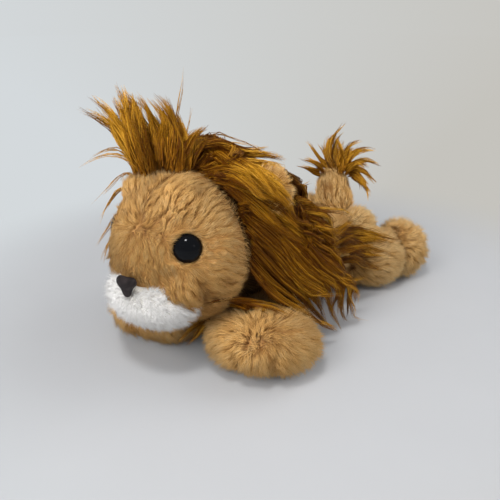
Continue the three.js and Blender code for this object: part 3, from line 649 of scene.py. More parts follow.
# Kinds and settings of nodes that come back often
MATH, VECTOR_MATH = "ShaderNodeMath", "ShaderNodeVectorMath"
READ, STORE = "GeometryNodeInputNamedAttribute", "GeometryNodeStoreNamedAttribute"
NUMBER, POINT_NUMBER = {"data_type": "FLOAT"}, {"data_type": "FLOAT", "domain": "POINT"}
TIMES, PLUS, MINUS, OVER, SCALED, TIMES_PLUS = ({"operation": word} for word in (
    "MULTIPLY", "ADD", "SUBTRACT", "DIVIDE", "SCALE", "MULTIPLY_ADD"))


def add_node(tree, kind, settings=(), links=()):
    """Adds a node with its settings; its inputs get values or links, to a socket or a node's first output."""
    made = tree.nodes.new(kind)
    for key, value in dict(settings).items():
        setattr(made, key, value)
    for key, value in dict(links).items():
        if isinstance(value, bpy.types.Node):
            value = value.outputs[0]
        if isinstance(value, bpy.types.NodeSocket):
            tree.links.new(value, made.inputs[key])
        else:
            made.inputs[key].default_value = value
    return made


def new_material(name):
    """(material, node tree, principled shader) with nothing else in it."""
    material = bpy.data.materials.new(name)
    material.use_nodes = True
    tree = material.node_tree
    tree.nodes.clear()
    shader = add_node(tree, "ShaderNodeBsdfPrincipled")
    add_node(tree, "ShaderNodeOutputMaterial", (), {"Surface": shader.outputs["BSDF"]})
    return material, tree, shader


def set_stops(node, stops):
    """Gives a colour ramp its (place, colour) stops."""
    elements = node.color_ramp.elements
    while len(elements) < len(stops):
        elements.new(0.5)
    for element, (place, colour) in zip(elements, stops):
        element.position = place
        element.color = (*colour, 1)


def pile_material(name, root, middle, tip, roughness, sheen, dark_share):
    """Dyed pile, half matt: a strand is darker at its root, as painted shade deep in the pile, and paler at
    its tip.
    """
    material, tree, shader = new_material(name)
    place = add_node(tree, "ShaderNodeUVMap", {"uv_map": "OFBake"})
    parts = add_node(tree, "ShaderNodeSeparateXYZ", (), {"Vector": place.outputs["UV"]})
    tones = add_node(tree, "ShaderNodeValToRGB", (), {"Fac": parts.outputs["X"]})
    set_stops(tones, [(0.05, root), (0.5, middle), (0.95, tip)])
    # Painted shade: along each strand the root is darker, for the shade deep in the pile
    lengths = add_node(tree, "ShaderNodeValToRGB", (), {"Fac": parts.outputs["Y"]})
    shade = tuple(dark_share ** power for power in (1, 1.3, 1.6))
    set_stops(lengths, [(0.0, shade), (0.6, (0.97, 0.96, 0.95)), (1.0, (1, 1, 1))])
    mixed = add_node(tree, "ShaderNodeMix", {"data_type": "RGBA", "blend_type": "MULTIPLY"},
                     {"Factor": 1.0, "A": tones.outputs["Color"], "B": lengths.outputs["Color"]})
    colour = next(o for o in mixed.outputs if o.type == "RGBA")
    tree.links.new(colour, shader.inputs["Base Color"])
    shader.inputs["Roughness"].default_value = roughness
    shader.inputs["Specular IOR Level"].default_value = 0.12
    shader.inputs["Sheen Weight"].default_value = sheen
    shader.inputs["Sheen Roughness"].default_value = 0.5
    return material


def cloth_material(name, stain, tones, threads, raised, roughness, specular=0.5):
    """Dull cloth or fibre in two tones, with raised threads.

    The tones are (place, colour) stops over a noise whose size, detail and distortion the stain gives. The
    threads' height comes from a function of the tree, its Object coordinates and that noise; raised is how
    strongly and how far they stand out.
    """
    material, tree, shader = new_material(name)
    place = add_node(tree, "ShaderNodeTexCoord").outputs["Object"]
    size, detail, distortion = stain
    stained = add_node(tree, "ShaderNodeTexNoise", (), {"Vector": place, "Scale": 1 / size, "Detail": detail,
                                                        "Distortion": distortion}).outputs["Fac"]
    dyed = add_node(tree, "ShaderNodeValToRGB", (), {"Fac": stained})
    set_stops(dyed, tones)
    strength, distance = raised
    uneven = add_node(tree, "ShaderNodeBump", (), {"Strength": strength, "Distance": distance,
                                                   "Height": threads(tree, place, stained)})
    tree.links.new(dyed.outputs["Color"], shader.inputs["Base Color"])
    tree.links.new(uneven.outputs["Normal"], shader.inputs["Normal"])
    shader.inputs["Roughness"].default_value = roughness
    shader.inputs["Specular IOR Level"].default_value = specular
    return material


def knit_height(tree, place, _):
    """Height of knitted loops, drawn 1.4 mm apart, as coarse as they need to show."""
    return add_node(tree, "ShaderNodeTexVoronoi", {"feature": "F1"},
                    {"Vector": place, "Scale": 1 / (1.4 * MM)}).outputs["Distance"]


def weave_height(tree, place, spacing):
    """Height of a plain weave whose threads lie one spacing apart."""
    height = None
    for way in ("X", "Z"):
        threads = add_node(tree, "ShaderNodeTexWave", {"wave_type": "BANDS", "bands_direction": way},
                           {"Vector": place, "Scale": 1 / spacing / 3.2, "Distortion": 1.5}).outputs["Fac"]
        height = add_node(tree, MATH, TIMES, {0: height, 1: threads}) if height else threads
    return height


def backing_material(name, colour, darker):
    """Knitted polyester backing: dull, with soft stains between its loops."""
    return cloth_material(name, (9 * MM, 3.0, 0.0), [(0.3, darker), (0.7, colour)], knit_height,
                          (0.5, 0.3 * MM), 0.95, 0.15)


def nose_material(name):
    """Brushed satin cloth: near black with a soft shine, its weave drawn 0.7 mm apart so that it shows."""
    nose = tuple(colours().nose)
    return cloth_material(name, (5 * MM, 4.0, 0.0),
                          [(0.35, tuple(c * 0.6 for c in nose)), (0.7, tuple(c * 1.5 for c in nose))],
                          lambda tree, place, _: weave_height(tree, place, 0.7 * MM),
                          (0.4, 0.25 * MM), 0.6, 0.2)


def fibre_material(name):
    """Loose polyester fibre: white, matt, with fine crossing fibres and soft hollows."""
    tones = [(0.3, to_linear("#CFCCC4")), (0.7, to_linear("#F4F2EC"))]
    return cloth_material(name, (6 * MM, 8.0, 2.0), tones, lambda tree, place, wisps: wisps,
                          (0.8, 1.5 * MM), 0.95)


def pouch_material(name):
    """Unbleached cotton: off-white, matt, a plain weave drawn 1 mm apart so that it shows."""
    tones = [(0.3, to_linear("#D6CBB4")), (0.7, to_linear("#ECE4D2"))]
    return cloth_material(name, (3 * MM, 5.0, 0.0), tones,
                          lambda tree, place, _: weave_height(tree, place, 1.0 * MM), (0.6, 0.4 * MM), 0.9)


def eye_material(name):
    """Injection-moulded polystyrene: black, wet-looking, with the faintest moulding ripple."""
    material, tree, shader = new_material(name)
    place = add_node(tree, "ShaderNodeTexCoord")
    ripple = add_node(tree, "ShaderNodeTexNoise", (),
                      {"Vector": place.outputs["Object"], "Scale": 1 / (4 * MM), "Detail": 2.0})
    gloss = add_node(tree, "ShaderNodeMapRange", (),
                     {"Value": ripple.outputs["Fac"], "From Min": 0.3, "From Max": 0.7, "To Min": 0.02,
                      "To Max": 0.05})
    tree.links.new(gloss.outputs["Result"], shader.inputs["Roughness"])
    shader.inputs["Base Color"].default_value = (*colours().eye, 1)
    shader.inputs["IOR"].default_value = 1.5
    shader.inputs["Specular IOR Level"].default_value = 0.14
    return material


def nylon_material(name):
    """Moulded nylon: milky white and half matt, with faint sink marks."""
    material, tree, shader = new_material(name)
    place = add_node(tree, "ShaderNodeTexCoord")
    marks = add_node(tree, "ShaderNodeTexNoise", (),
                     {"Vector": place.outputs["Object"], "Scale": 1 / (2 * MM)})
    gloss = add_node(tree, "ShaderNodeMapRange", (),
                     {"Value": marks.outputs["Fac"], "To Min": 0.3, "To Max": 0.5})
    tree.links.new(gloss.outputs["Result"], shader.inputs["Roughness"])
    shader.inputs["Base Color"].default_value = (*to_linear("#ECEBE6"), 1)
    shader.inputs["IOR"].default_value = 1.53
    return material


def wear(piece, *materials):
    """Gives a piece these materials alone."""
    piece.data.materials.clear()
    for material in materials:
        piece.data.materials.append(material)


def material(name, maker, *values):
    """The material of that name, made the first time that it is asked for."""
    return bpy.data.materials.get(name) or maker(name, *values)


def tan_pile():
    c = colours()
    return material("tan_polyester_pile", pile_material, c.tan_root, c.tan, c.tan_tip, 0.75, 0.03, 0.45)


def white_pile():
    c = colours()
    return material("white_polyester_pile", pile_material, tuple(x * 0.98 for x in c.white), c.white, c.white,
                    0.8, 0.05, 0.98)


def mane_hair():
    c = colours()
    return material("combed_acrylic_hair", pile_material, c.mane_dark, c.mane, c.mane_light, 0.42, 0.0, 0.5)


def tan_backing():
    return material("tan_knitted_backing", backing_material, to_linear("#B98C55"), to_linear("#8F6435"))


def white_backing():
    return material("white_knitted_backing", backing_material, to_linear("#E4E1DA"), to_linear("#C9C5BC"))


def mane_backing():
    return material("brown_knitted_backing", backing_material, to_linear("#4A2E0C"), to_linear("#2A1806"))


# Node trees for pile and hair

def group_inputs(name, inputs):
    """(tree, group input node) of a new geometry tree with named inputs."""
    tree = bpy.data.node_groups.new(name, "GeometryNodeTree")
    tree.interface.new_socket("Geometry", in_out="INPUT", socket_type="NodeSocketGeometry")
    for label, kind, value in inputs:
        socket = tree.interface.new_socket(label, in_out="INPUT", socket_type=kind)
        if value is not None:
            socket.default_value = value
    tree.interface.new_socket("Geometry", in_out="OUTPUT", socket_type="NodeSocketGeometry")
    return tree, add_node(tree, "NodeGroupInput")


def pile_tree():
    """Small tapered tufts over a skin: they lie along its comb, lean together in clumps, end on the floor."""
    found = bpy.data.node_groups.get("Short pile")
    if found:
        return found
    tree, given = group_inputs("Short pile", [
        ("Grow attribute", "NodeSocketString", "grow"),
        ("Per square metre", "NodeSocketFloat", 700000.0),
        ("Length", "NodeSocketFloat", 9 * MM),
        ("Half width", "NodeSocketFloat", 0.36 * MM),
        ("Lift", "NodeSocketFloat", 0.6),
        ("Clump", "NodeSocketFloat", 0.6),
        ("Clump size", "NodeSocketFloat", 5.5 * MM),
        ("Clump painted shade", "NodeSocketFloat", 0.5),
        ("Swirl", "NodeSocketFloat", 0.4),
        ("Swirl size", "NodeSocketFloat", 24 * MM),
        ("Stray", "NodeSocketFloat", 0.15),
        ("Tone spread", "NodeSocketFloat", 0.16),
        ("Bend", "NodeSocketFloat", 5.0),
        ("Seed", "NodeSocketInt", 1),
        ("Material", "NodeSocketMaterial", None),
    ])
    g = given.outputs
    grow = add_node(tree, READ, NUMBER, {"Name": g["Grow attribute"]})
    density = add_node(tree, MATH, TIMES, {0: grow.outputs["Attribute"], 1: g["Per square metre"]})
    points = add_node(tree, "GeometryNodeDistributePointsOnFaces", {"distribute_method": "RANDOM"},
                      {"Mesh": g["Geometry"], "Density": density, "Seed": g["Seed"]})
    comb = add_node(tree, READ, {"data_type": "FLOAT_VECTOR"}, {"Name": "comb"})
    pile = add_node(tree, READ, NUMBER, {"Name": "pile"})
    tone = add_node(tree, READ, NUMBER, {"Name": "tone"})
    here = add_node(tree, "GeometryNodeInputPosition")

    # The comb turns slowly from place to place, and the tips of each clump draw together over its middle
    fineness = add_node(tree, MATH, OVER, {0: 1.0, 1: g["Swirl size"]})
    field = add_node(tree, "ShaderNodeTexNoise", (), {"Vector": here, "Scale": fineness, "Detail": 1.0})
    centred = add_node(tree, VECTOR_MATH, MINUS, {0: field.outputs["Color"], 1: FIELD_MIDDLE})
    strength = add_node(tree, MATH, TIMES, {0: g["Swirl"], 1: FIELD_GAIN})
    pushed = add_node(tree, VECTOR_MATH, SCALED, {0: centred, "Scale": strength})
    lean = add_node(tree, VECTOR_MATH, PLUS, {0: comb.outputs["Attribute"], 1: pushed})
    fineness = add_node(tree, MATH, OVER, {0: 1.0, 1: g["Clump size"]})
    cells = add_node(tree, "ShaderNodeTexVoronoi", {"feature": "F1"}, {"Vector": here, "Scale": fineness})
    inward = add_node(tree, VECTOR_MATH, MINUS, {0: cells.outputs["Position"], 1: here})
    strength = add_node(tree, MATH, OVER, {0: g["Clump"], 1: g["Length"]})
    pushed = add_node(tree, VECTOR_MATH, SCALED, {0: inward, "Scale": strength})
    lean = add_node(tree, VECTOR_MATH, PLUS, {0: lean, 1: pushed})
    loose = add_node(tree, "FunctionNodeRandomValue", {"data_type": "FLOAT_VECTOR"},
                     {0: (-1.0, -1.0, -1.0), 1: (1.0, 1.0, 1.0), "Seed": g["Seed"]})
    strayed = add_node(tree, VECTOR_MATH, SCALED, {0: loose, "Scale": g["Stray"]})
    lean = add_node(tree, VECTOR_MATH, PLUS, {0: lean, 1: strayed})
    lifted = add_node(tree, VECTOR_MATH, SCALED, {0: points.outputs["Normal"], "Scale": g["Lift"]})
    way = add_node(tree, VECTOR_MATH, PLUS, {0: lean, 1: lifted})
    stand = add_node(tree, "FunctionNodeAlignRotationToVector", {"axis": "Z"}, {"Vector": way})
    facing = add_node(tree, "FunctionNodeAlignRotationToVector", {"axis": "X", "pivot_axis": "Z"},
                      {"Rotation": stand, "Vector": lean})
    uneven = add_node(tree, "FunctionNodeRandomValue", NUMBER,
                      {2: TUFT_LENGTHS[0], 3: TUFT_LENGTHS[1], "Seed": 5})
    reach = add_node(tree, MATH, TIMES, {0: pile.outputs["Attribute"], 1: uneven.outputs[1]})
    reach = add_node(tree, MATH, TIMES, {0: reach, 1: g["Length"]})
    thick = add_node(tree, "FunctionNodeRandomValue", NUMBER,
                     {2: TUFT_WIDTHS[0], 3: TUFT_WIDTHS[1], "Seed": 9})
    thick = add_node(tree, MATH, TIMES, {0: thick.outputs[1], 1: g["Half width"]})
    scale = add_node(tree, "ShaderNodeCombineXYZ", (), {"X": thick, "Y": thick, "Z": reach})

    # One tuft, 1 long and 1 in half width, bent over at its end
    cone = add_node(tree, "GeometryNodeMeshCone", (),
                    {"Vertices": 3, "Side Segments": 1, "Fill Segments": 1, "Radius Top": 0.0,
                     "Radius Bottom": 1.0, "Depth": 1.0})
    at = add_node(tree, "ShaderNodeSeparateXYZ", (), {"Vector": here})
    height = at.outputs["Z"]
    squared = add_node(tree, MATH, {"operation": "POWER"}, {0: height, 1: 2.0})
    fuller = add_node(tree, "ShaderNodeMapRange", (),
                      {"Value": height, "To Min": TUFT_ROOT_WIDTH, "To Max": TUFT_TIP_WIDTH})
    around_x = add_node(tree, MATH, TIMES, {0: at.outputs["X"], 1: fuller})
    around_y = add_node(tree, MATH, TIMES, {0: at.outputs["Y"], 1: fuller})
    bent = add_node(tree, MATH, TIMES_PLUS, {0: squared, 1: g["Bend"], 2: around_x})
    shaped = add_node(tree, "ShaderNodeCombineXYZ", (), {"X": bent, "Y": around_y, "Z": height})
    turned = add_node(tree, MATH, {"operation": "ARCTAN2"}, {0: at.outputs["Y"], 1: at.outputs["X"]})
    tuft = add_node(tree, STORE, POINT_NUMBER,
                    {"Geometry": cone.outputs["Mesh"], "Name": "along", "Value": height})
    tuft = add_node(tree, STORE, POINT_NUMBER, {"Geometry": tuft, "Name": "around", "Value": turned})
    tuft = add_node(tree, "GeometryNodeSetPosition", (), {"Geometry": tuft, "Position": shaped})

    spread = add_node(tree, "FunctionNodeRandomValue", NUMBER, {2: -1.0, 3: 1.0, "Seed": 21})
    toned = add_node(tree, MATH, TIMES_PLUS,
                     {0: spread.outputs[1], 1: g["Tone spread"], 2: tone.outputs["Attribute"]})
    # Painted shade: each clump is lighter in its middle and darker at its edges, where shade falls between
    # clumps
    inner = add_node(tree, MATH, MINUS, {0: 0.5, 1: cells.outputs["Distance"]})
    toned = add_node(tree, MATH, TIMES_PLUS, {0: inner, 1: g["Clump painted shade"], 2: toned})
    coloured = add_node(tree, STORE, POINT_NUMBER,
                        {"Geometry": points.outputs["Points"], "Name": "shade", "Value": toned})
    copies = add_node(tree, "GeometryNodeInstanceOnPoints", (),
                      {"Points": coloured, "Instance": tuft, "Rotation": facing, "Scale": scale})
    real = add_node(tree, "GeometryNodeRealizeInstances", (), {"Geometry": copies})
    finish_strands(tree, real, g["Material"])
    return tree


def finish_strands(tree, geometry, material):
    """Keeps strands above the floor, gives them their map of tone and length, and their material."""
    here = add_node(tree, "GeometryNodeInputPosition")
    at = add_node(tree, "ShaderNodeSeparateXYZ", (), {"Vector": here})
    height = add_node(tree, MATH, {"operation": "MAXIMUM"}, {0: at.outputs["Z"], 1: FLOOR_GAP})
    above = add_node(tree, "ShaderNodeCombineXYZ", (),
                     {"X": at.outputs["X"], "Y": at.outputs["Y"], "Z": height})
    held = add_node(tree, "GeometryNodeSetPosition", (), {"Geometry": geometry, "Position": above})
    shade, along, around = (add_node(tree, READ, NUMBER, {"Name": name}).outputs["Attribute"]
                            for name in ("shade", "along", "around"))
    inside = add_node(tree, "ShaderNodeClamp", (), {"Value": shade, "Min": 0.01, "Max": 0.99})
    across = add_node(tree, MATH, TIMES_PLUS, {0: around, 1: MAP_WIDTH, 2: inside})
    place = add_node(tree, "ShaderNodeCombineXYZ", (), {"X": across, "Y": along})
    mapped = add_node(tree, STORE, {"data_type": "FLOAT2", "domain": "CORNER"},
                      {"Geometry": held, "Name": "OFBake", "Value": place})
    smooth = add_node(tree, "GeometryNodeSetShadeSmooth", (), {"Geometry": mapped})
    dressed = add_node(tree, "GeometryNodeSetMaterial", (), {"Geometry": smooth, "Material": material})
    add_node(tree, "NodeGroupOutput", (), {"Geometry": dressed})


def hair_tree():
    """Long strands round guide lines: each line becomes a lock whose strands draw together at its tip."""
    found = bpy.data.node_groups.get("Combed hair")
    if found:
        return found
    tree, given = group_inputs("Combed hair", [
        ("Points", "NodeSocketInt", 8),
        ("Half width", "NodeSocketFloat", 0.34 * MM),
        ("Flatness", "NodeSocketFloat", 0.5),
        ("Wave", "NodeSocketFloat", 3 * MM),
        ("Wave size", "NodeSocketFloat", 30 * MM),
        ("Shortest", "NodeSocketFloat", 0.6),
        ("Tone spread", "NodeSocketFloat", 0.3),
        ("Seed", "NodeSocketInt", 1),
        ("Material", "NodeSocketMaterial", None),
    ])
    g = given.outputs
    lines = add_node(tree, "GeometryNodeMeshToCurve", (), {"Mesh": g["Geometry"]})
    count, half, hue, whole = (add_node(tree, READ, NUMBER, {"Name": name}).outputs["Attribute"]
                               for name in ("count", "half", "tone", "shortest"))
    out = add_node(tree, READ, {"data_type": "FLOAT_VECTOR"}, {"Name": "out"})
    geometry = add_node(tree, "GeometryNodeDuplicateElements", {"domain": "SPLINE"},
                        {"Geometry": lines, "Amount": count})
    for name, seed, low, high in (("turn", 1, 0.0, 2 * math.pi), ("reach", 2, 0.0, 1.0), ("cut", 3, 0.0, 1.0),
                                  ("dye", 4, -1.0, 1.0), ("start", 5, 0.0, 0.12), ("thick", 6, 0.7, 1.3)):
        mixed = add_node(tree, MATH, PLUS, {0: g["Seed"], 1: float(seed * 17)})
        value = add_node(tree, "FunctionNodeRandomValue", NUMBER, {2: low, 3: high, "Seed": mixed})
        geometry = add_node(tree, STORE, {"data_type": "FLOAT", "domain": "CURVE"},
                            {"Geometry": geometry, "Name": name, "Value": value.outputs[1]})
    turn, reach, cut, dye, start, thick = (
        add_node(tree, READ, NUMBER, {"Name": name}).outputs["Attribute"]
        for name in ("turn", "reach", "cut", "dye", "start", "thick"))
    shortest = add_node(tree, MATH, TIMES, {0: whole, 1: g["Shortest"]})
    end = add_node(tree, "ShaderNodeMapRange", (), {"Value": cut, "To Min": shortest, "To Max": 1.0})
    trimmed = add_node(tree, "GeometryNodeTrimCurve", (), {"Curve": geometry, "Start": start, "End": end})
    evened = add_node(tree, "GeometryNodeResampleCurve", {"mode": "COUNT"},
                      {"Curve": trimmed, "Count": g["Points"]})
    along = add_node(tree, "GeometryNodeSplineParameter").outputs["Factor"]
    kept = add_node(tree, STORE, POINT_NUMBER, {"Geometry": evened, "Name": "along", "Value": along})

    # Places across the lock, in an oval that is flat against the body
    tangent = add_node(tree, "GeometryNodeInputTangent")
    side = add_node(tree, VECTOR_MATH, {"operation": "CROSS_PRODUCT"},
                    {0: tangent, 1: out.outputs["Attribute"]})
    side = add_node(tree, VECTOR_MATH, {"operation": "NORMALIZE"}, {0: side})
    root = add_node(tree, MATH, {"operation": "SQRT"}, {0: reach})
    radius = add_node(tree, MATH, TIMES, {0: root, 1: half})
    cos = add_node(tree, MATH, {"operation": "COSINE"}, {0: turn})
    sin = add_node(tree, MATH, {"operation": "SINE"}, {0: turn})
    wide = add_node(tree, MATH, TIMES, {0: cos, 1: radius})
    deep = add_node(tree, MATH, TIMES, {0: sin, 1: radius})
    deep = add_node(tree, MATH, TIMES, {0: deep, 1: g["Flatness"]})
    sideways = add_node(tree, VECTOR_MATH, SCALED, {0: side, "Scale": wide})
    outwards = add_node(tree, VECTOR_MATH, SCALED, {0: out.outputs["Attribute"], "Scale": deep})
    offset = add_node(tree, VECTOR_MATH, PLUS, {0: sideways, 1: outwards})

    # A loose wave that grows towards the tip, different for each strand
    here = add_node(tree, "GeometryNodeInputPosition")
    apart = add_node(tree, MATH, TIMES, {0: dye, 1: STRAND_APART})
    apart = add_node(tree, "ShaderNodeCombineXYZ", (), {"X": apart, "Y": apart})
    moved = add_node(tree, VECTOR_MATH, PLUS, {0: here, 1: apart})
    fineness = add_node(tree, MATH, OVER, {0: 1.0, 1: g["Wave size"]})
    field = add_node(tree, "ShaderNodeTexNoise", (), {"Vector": moved, "Scale": fineness, "Detail": 1.0})
    centred = add_node(tree, VECTOR_MATH, MINUS, {0: field.outputs["Color"], 1: FIELD_MIDDLE})
    grown = add_node(tree, MATH, TIMES, {0: along, 1: g["Wave"]})
    grown = add_node(tree, MATH, TIMES, {0: grown, 1: FIELD_GAIN})
    waved = add_node(tree, VECTOR_MATH, SCALED, {0: centred, "Scale": grown})
    offset = add_node(tree, VECTOR_MATH, PLUS, {0: offset, 1: waved})
    spread = add_node(tree, "GeometryNodeSetPosition", (), {"Geometry": kept, "Offset": offset})
    toned = add_node(tree, MATH, TIMES_PLUS, {0: dye, 1: g["Tone spread"], 2: hue})
    # Painted shade: a lock's outer strands are darker and its core lighter
    inner = add_node(tree, MATH, MINUS, {0: LOCK_MIDDLE, 1: reach})
    toned = add_node(tree, MATH, TIMES_PLUS, {0: inner, 1: LOCK_PAINTED_SHADE, 2: toned})
    coloured = add_node(tree, STORE, POINT_NUMBER, {"Geometry": spread, "Name": "shade", "Value": toned})
    taper = add_node(tree, MATH, {"operation": "POWER"}, {0: along, 1: TIP_POWER})
    taper = add_node(tree, "ShaderNodeMapRange", (), {"Value": taper, "To Min": 1.0, "To Max": TIP_WIDTH})
    width = add_node(tree, MATH, TIMES, {0: taper, 1: thick})
    width = add_node(tree, MATH, TIMES, {0: width, 1: g["Half width"]})
    ring = add_node(tree, "GeometryNodeCurvePrimitiveCircle", {"mode": "RADIUS"},
                    {"Resolution": 3, "Radius": 1.0})
    ringed = add_node(tree, "GeometryNodeInputIndex")
    ring = add_node(tree, STORE, POINT_NUMBER, {"Geometry": ring, "Name": "around", "Value": ringed})
    strands = add_node(tree, "GeometryNodeCurveToMesh", (),
                       {"Curve": coloured, "Profile Curve": ring, "Scale": width, "Fill Caps": True})
    real = add_node(tree, "GeometryNodeRealizeInstances", (), {"Geometry": strands})
    finish_strands(tree, real, g["Material"])
    return tree


KEPT_ATTRIBUTES = {"OFBake", "position", "material_index", "sharp_face", "sharp_edge"}


def grown_from(source, name, tree, values):
    """A plain mesh piece of what a node tree grows on a source object, whose modifier is then removed."""
    modifier = source.modifiers.new(name, "NODES")
    modifier.node_group = tree
    for item in tree.interface.items_tree:
        if item.item_type == "SOCKET" and item.in_out == "INPUT" and item.name in values:
            modifier[item.identifier] = values[item.name]
    bpy.context.view_layer.update()
    evaluated = source.evaluated_get(bpy.context.evaluated_depsgraph_get())
    mesh = bpy.data.meshes.new_from_object(evaluated)
    source.modifiers.clear()
    mesh.name = name
    for key in [a.name for a in mesh.attributes
                if not a.name.startswith(".") and a.name not in KEPT_ATTRIBUTES]:
        mesh.attributes.remove(mesh.attributes[key])
    if not mesh.polygons:
        raise RuntimeError(f"{name} grew nothing")
    return new_object(name, mesh)


def grow_pile(name, skin, material, seed, length, grow="grow", **values):
    """Short pile on a skin, as a piece of its own."""
    s = sizes()
    given = {"Grow attribute": grow, "Per square metre": s.pile_per_mm2 / MM ** 2, "Length": length,
             "Half width": s.tuft_width, "Seed": s.seed + seed, "Material": material}
    given.update({key.replace("_", " ").capitalize(): value for key, value in values.items()})
    return grown_from(skin, name, pile_tree(), given)


# Skins and the way their pile is combed

def comb_skin(skin, way, pile=1.0, grow=1.0, tone=0.5, strength=1.0):
    """Stores how a skin's pile is combed: its way on the skin, how firmly, its length, density and tone.

    Length, density and strength are shares. A tone of 0.5 is the pile's own colour, less is darker and
    more is paler.
    """
    mesh = skin.data
    out = normals(mesh)
    way = np.broadcast_to(way, out.shape)
    count = len(mesh.vertices)
    level = unit(way - (way * out).sum(1)[:, None] * out) * np.broadcast_to(strength, count)[:, None]
    keep_value(mesh, "comb", level)
    for name, values in (("pile", pile), ("grow", grow), ("tone", tone)):
        keep_value(mesh, name, np.broadcast_to(values, count))


def leg_of(kind, side, reach, splay, forward):
    """A leg's form on the left (1) or right (-1), with where it starts, the way it runs and its reach."""
    x, y = SHOULDER if forward < 0 else HIP
    angle = math.radians(splay)
    way = np.array([side * math.sin(angle), forward * math.cos(angle), 0])
    root_height, paw_height = resting_heights(kind)
    start = np.array([side * x, y, root_height])
    end = start + way * reach + UP * (paw_height - root_height)
    return {**kind, "spine": (start, end)}, start, way, reach


LEGS = {
    "front_leg_left": leg_of({**FRONT_LEG, "width": 40}, 1, 106, 34, -1),
    "front_leg_right": leg_of({**FRONT_LEG, "width": 42}, -1, 122, 3.5, -1),
    "hind_leg_left": leg_of(HIND_LEG, 1, 100, 22, 1),
    "hind_leg_right": leg_of(HIND_LEG, -1, 100, 22, 1),
}


def on_the_floor(co, out):
    """1 where a leg lies on the floor, 0 elsewhere."""
    return ramp(-out[:, 2], 0.3, 0.8) * (co[:, 2] < 8)


def paw_skin(name):
    """A front leg with its paw; two stitched creases part the toes."""
    form, start, way, reach = LEGS[name]
    skin = sewn_skin(f"{name}_skin", [plump_form(**form)])
    side = np.cross(way, UP)
    co, out = places(skin.data) / MM, normals(skin.data)
    along, across, height = (co - start) @ way, (co - start) @ side, co[:, 2]
    front = ramp(along, reach * 0.78, reach * 0.95) * (1 - ramp(height, 30, 40))
    crease = sum(bump(across - place, TOE_CREASE_WIDTH) for place in TOE_CREASES) * front
    place_points(skin.data, (co - out * (TOE_CREASE_DEPTH * crease)[:, None]) * MM)
    rest_on_floor(skin)
    co, out = places(skin.data) / MM, normals(skin.data)
    pole = start + way * reach * 0.86 + UP * form["height"] * 0.75
    apart = np.linalg.norm(co - pole, axis=1)
    flow = unit(co - pole) + (0, 0, -0.2) + way * 0.15
    under = on_the_floor(co, out)
    # Painted shade: the pile is darker in the toe creases
    comb_skin(skin, flow, pile=(0.85 + 0.15 * ramp(apart, 5, 30)) * (1 - 0.5 * crease), grow=1 - 0.75 * under,
              tone=0.56 - 0.22 * crease + 0.06 * ramp(along, 70, 100) - 0.14 * bump(apart, 12),
              strength=0.2 + 0.8 * ramp(apart, 3, 26))
    return skin


def haunch_skin(name):
    """A hind leg: a full haunch that rises towards the tail, a crease, and the round foot under it."""
    form, start, way, reach = LEGS[name]
    mirror = np.array([1 if name.endswith("left") else -1, 1, 1])
    haunch, foot = HAUNCH[0] * mirror, FOOT[0] * mirror
    way = unit(foot - haunch)
    core = {**form, "spine": (start, foot + way * 16), "width": form["width"] * 0.75}
    eggs = [egg(centre * mirror, half) for centre, half in (HAUNCH, *HAUNCH_RISE, FOOT)]
    skin = sewn_skin(f"{name}_skin", [plump_form(**core), *eggs], smoothing=2)
    co, out = places(skin.data) / MM, normals(skin.data)
    crease = bump((co - haunch) @ way - FOOT_CREASE, FOOT_CREASE_WIDTH) * ramp(co[:, 2], 4, 16)
    place_points(skin.data, (co - out * (FOOT_CREASE_DEPTH * crease)[:, None]) * MM)
    rest_on_floor(skin)
    co, out = places(skin.data) / MM, normals(skin.data)
    on_foot = ramp((co - haunch) @ way, 20, 25)
    pole = foot - way * 10 + UP * 20
    flow = unit(co - pole) * on_foot[:, None] + (way - UP * 0.12) * (1 - on_foot)[:, None]
    under = on_the_floor(co, out)
    # Painted shade: the thigh is darker where the ends of the mane shadow it
    painted_mane_shadow = bump(np.linalg.norm(co - HAUNCH_PAINTED_SHADE * mirror, axis=1), HAUNCH_PAINTED_SHADE_WIDTH)
    # Painted light: the haunch is lighter towards the rear, to make up for the lamps' light falling off there
    # Painted shade: the pile is darker in the crease above the foot
    comb_skin(skin, flow, pile=1 - 0.45 * crease, grow=1 - 0.75 * under,
              tone=0.5 + 0.26 * ramp(co[:, 1], 34, 58) - 0.35 * crease - 0.08 * on_foot - 0.3 * painted_mane_shadow,
              strength=1 - 0.5 * on_foot)
    return skin


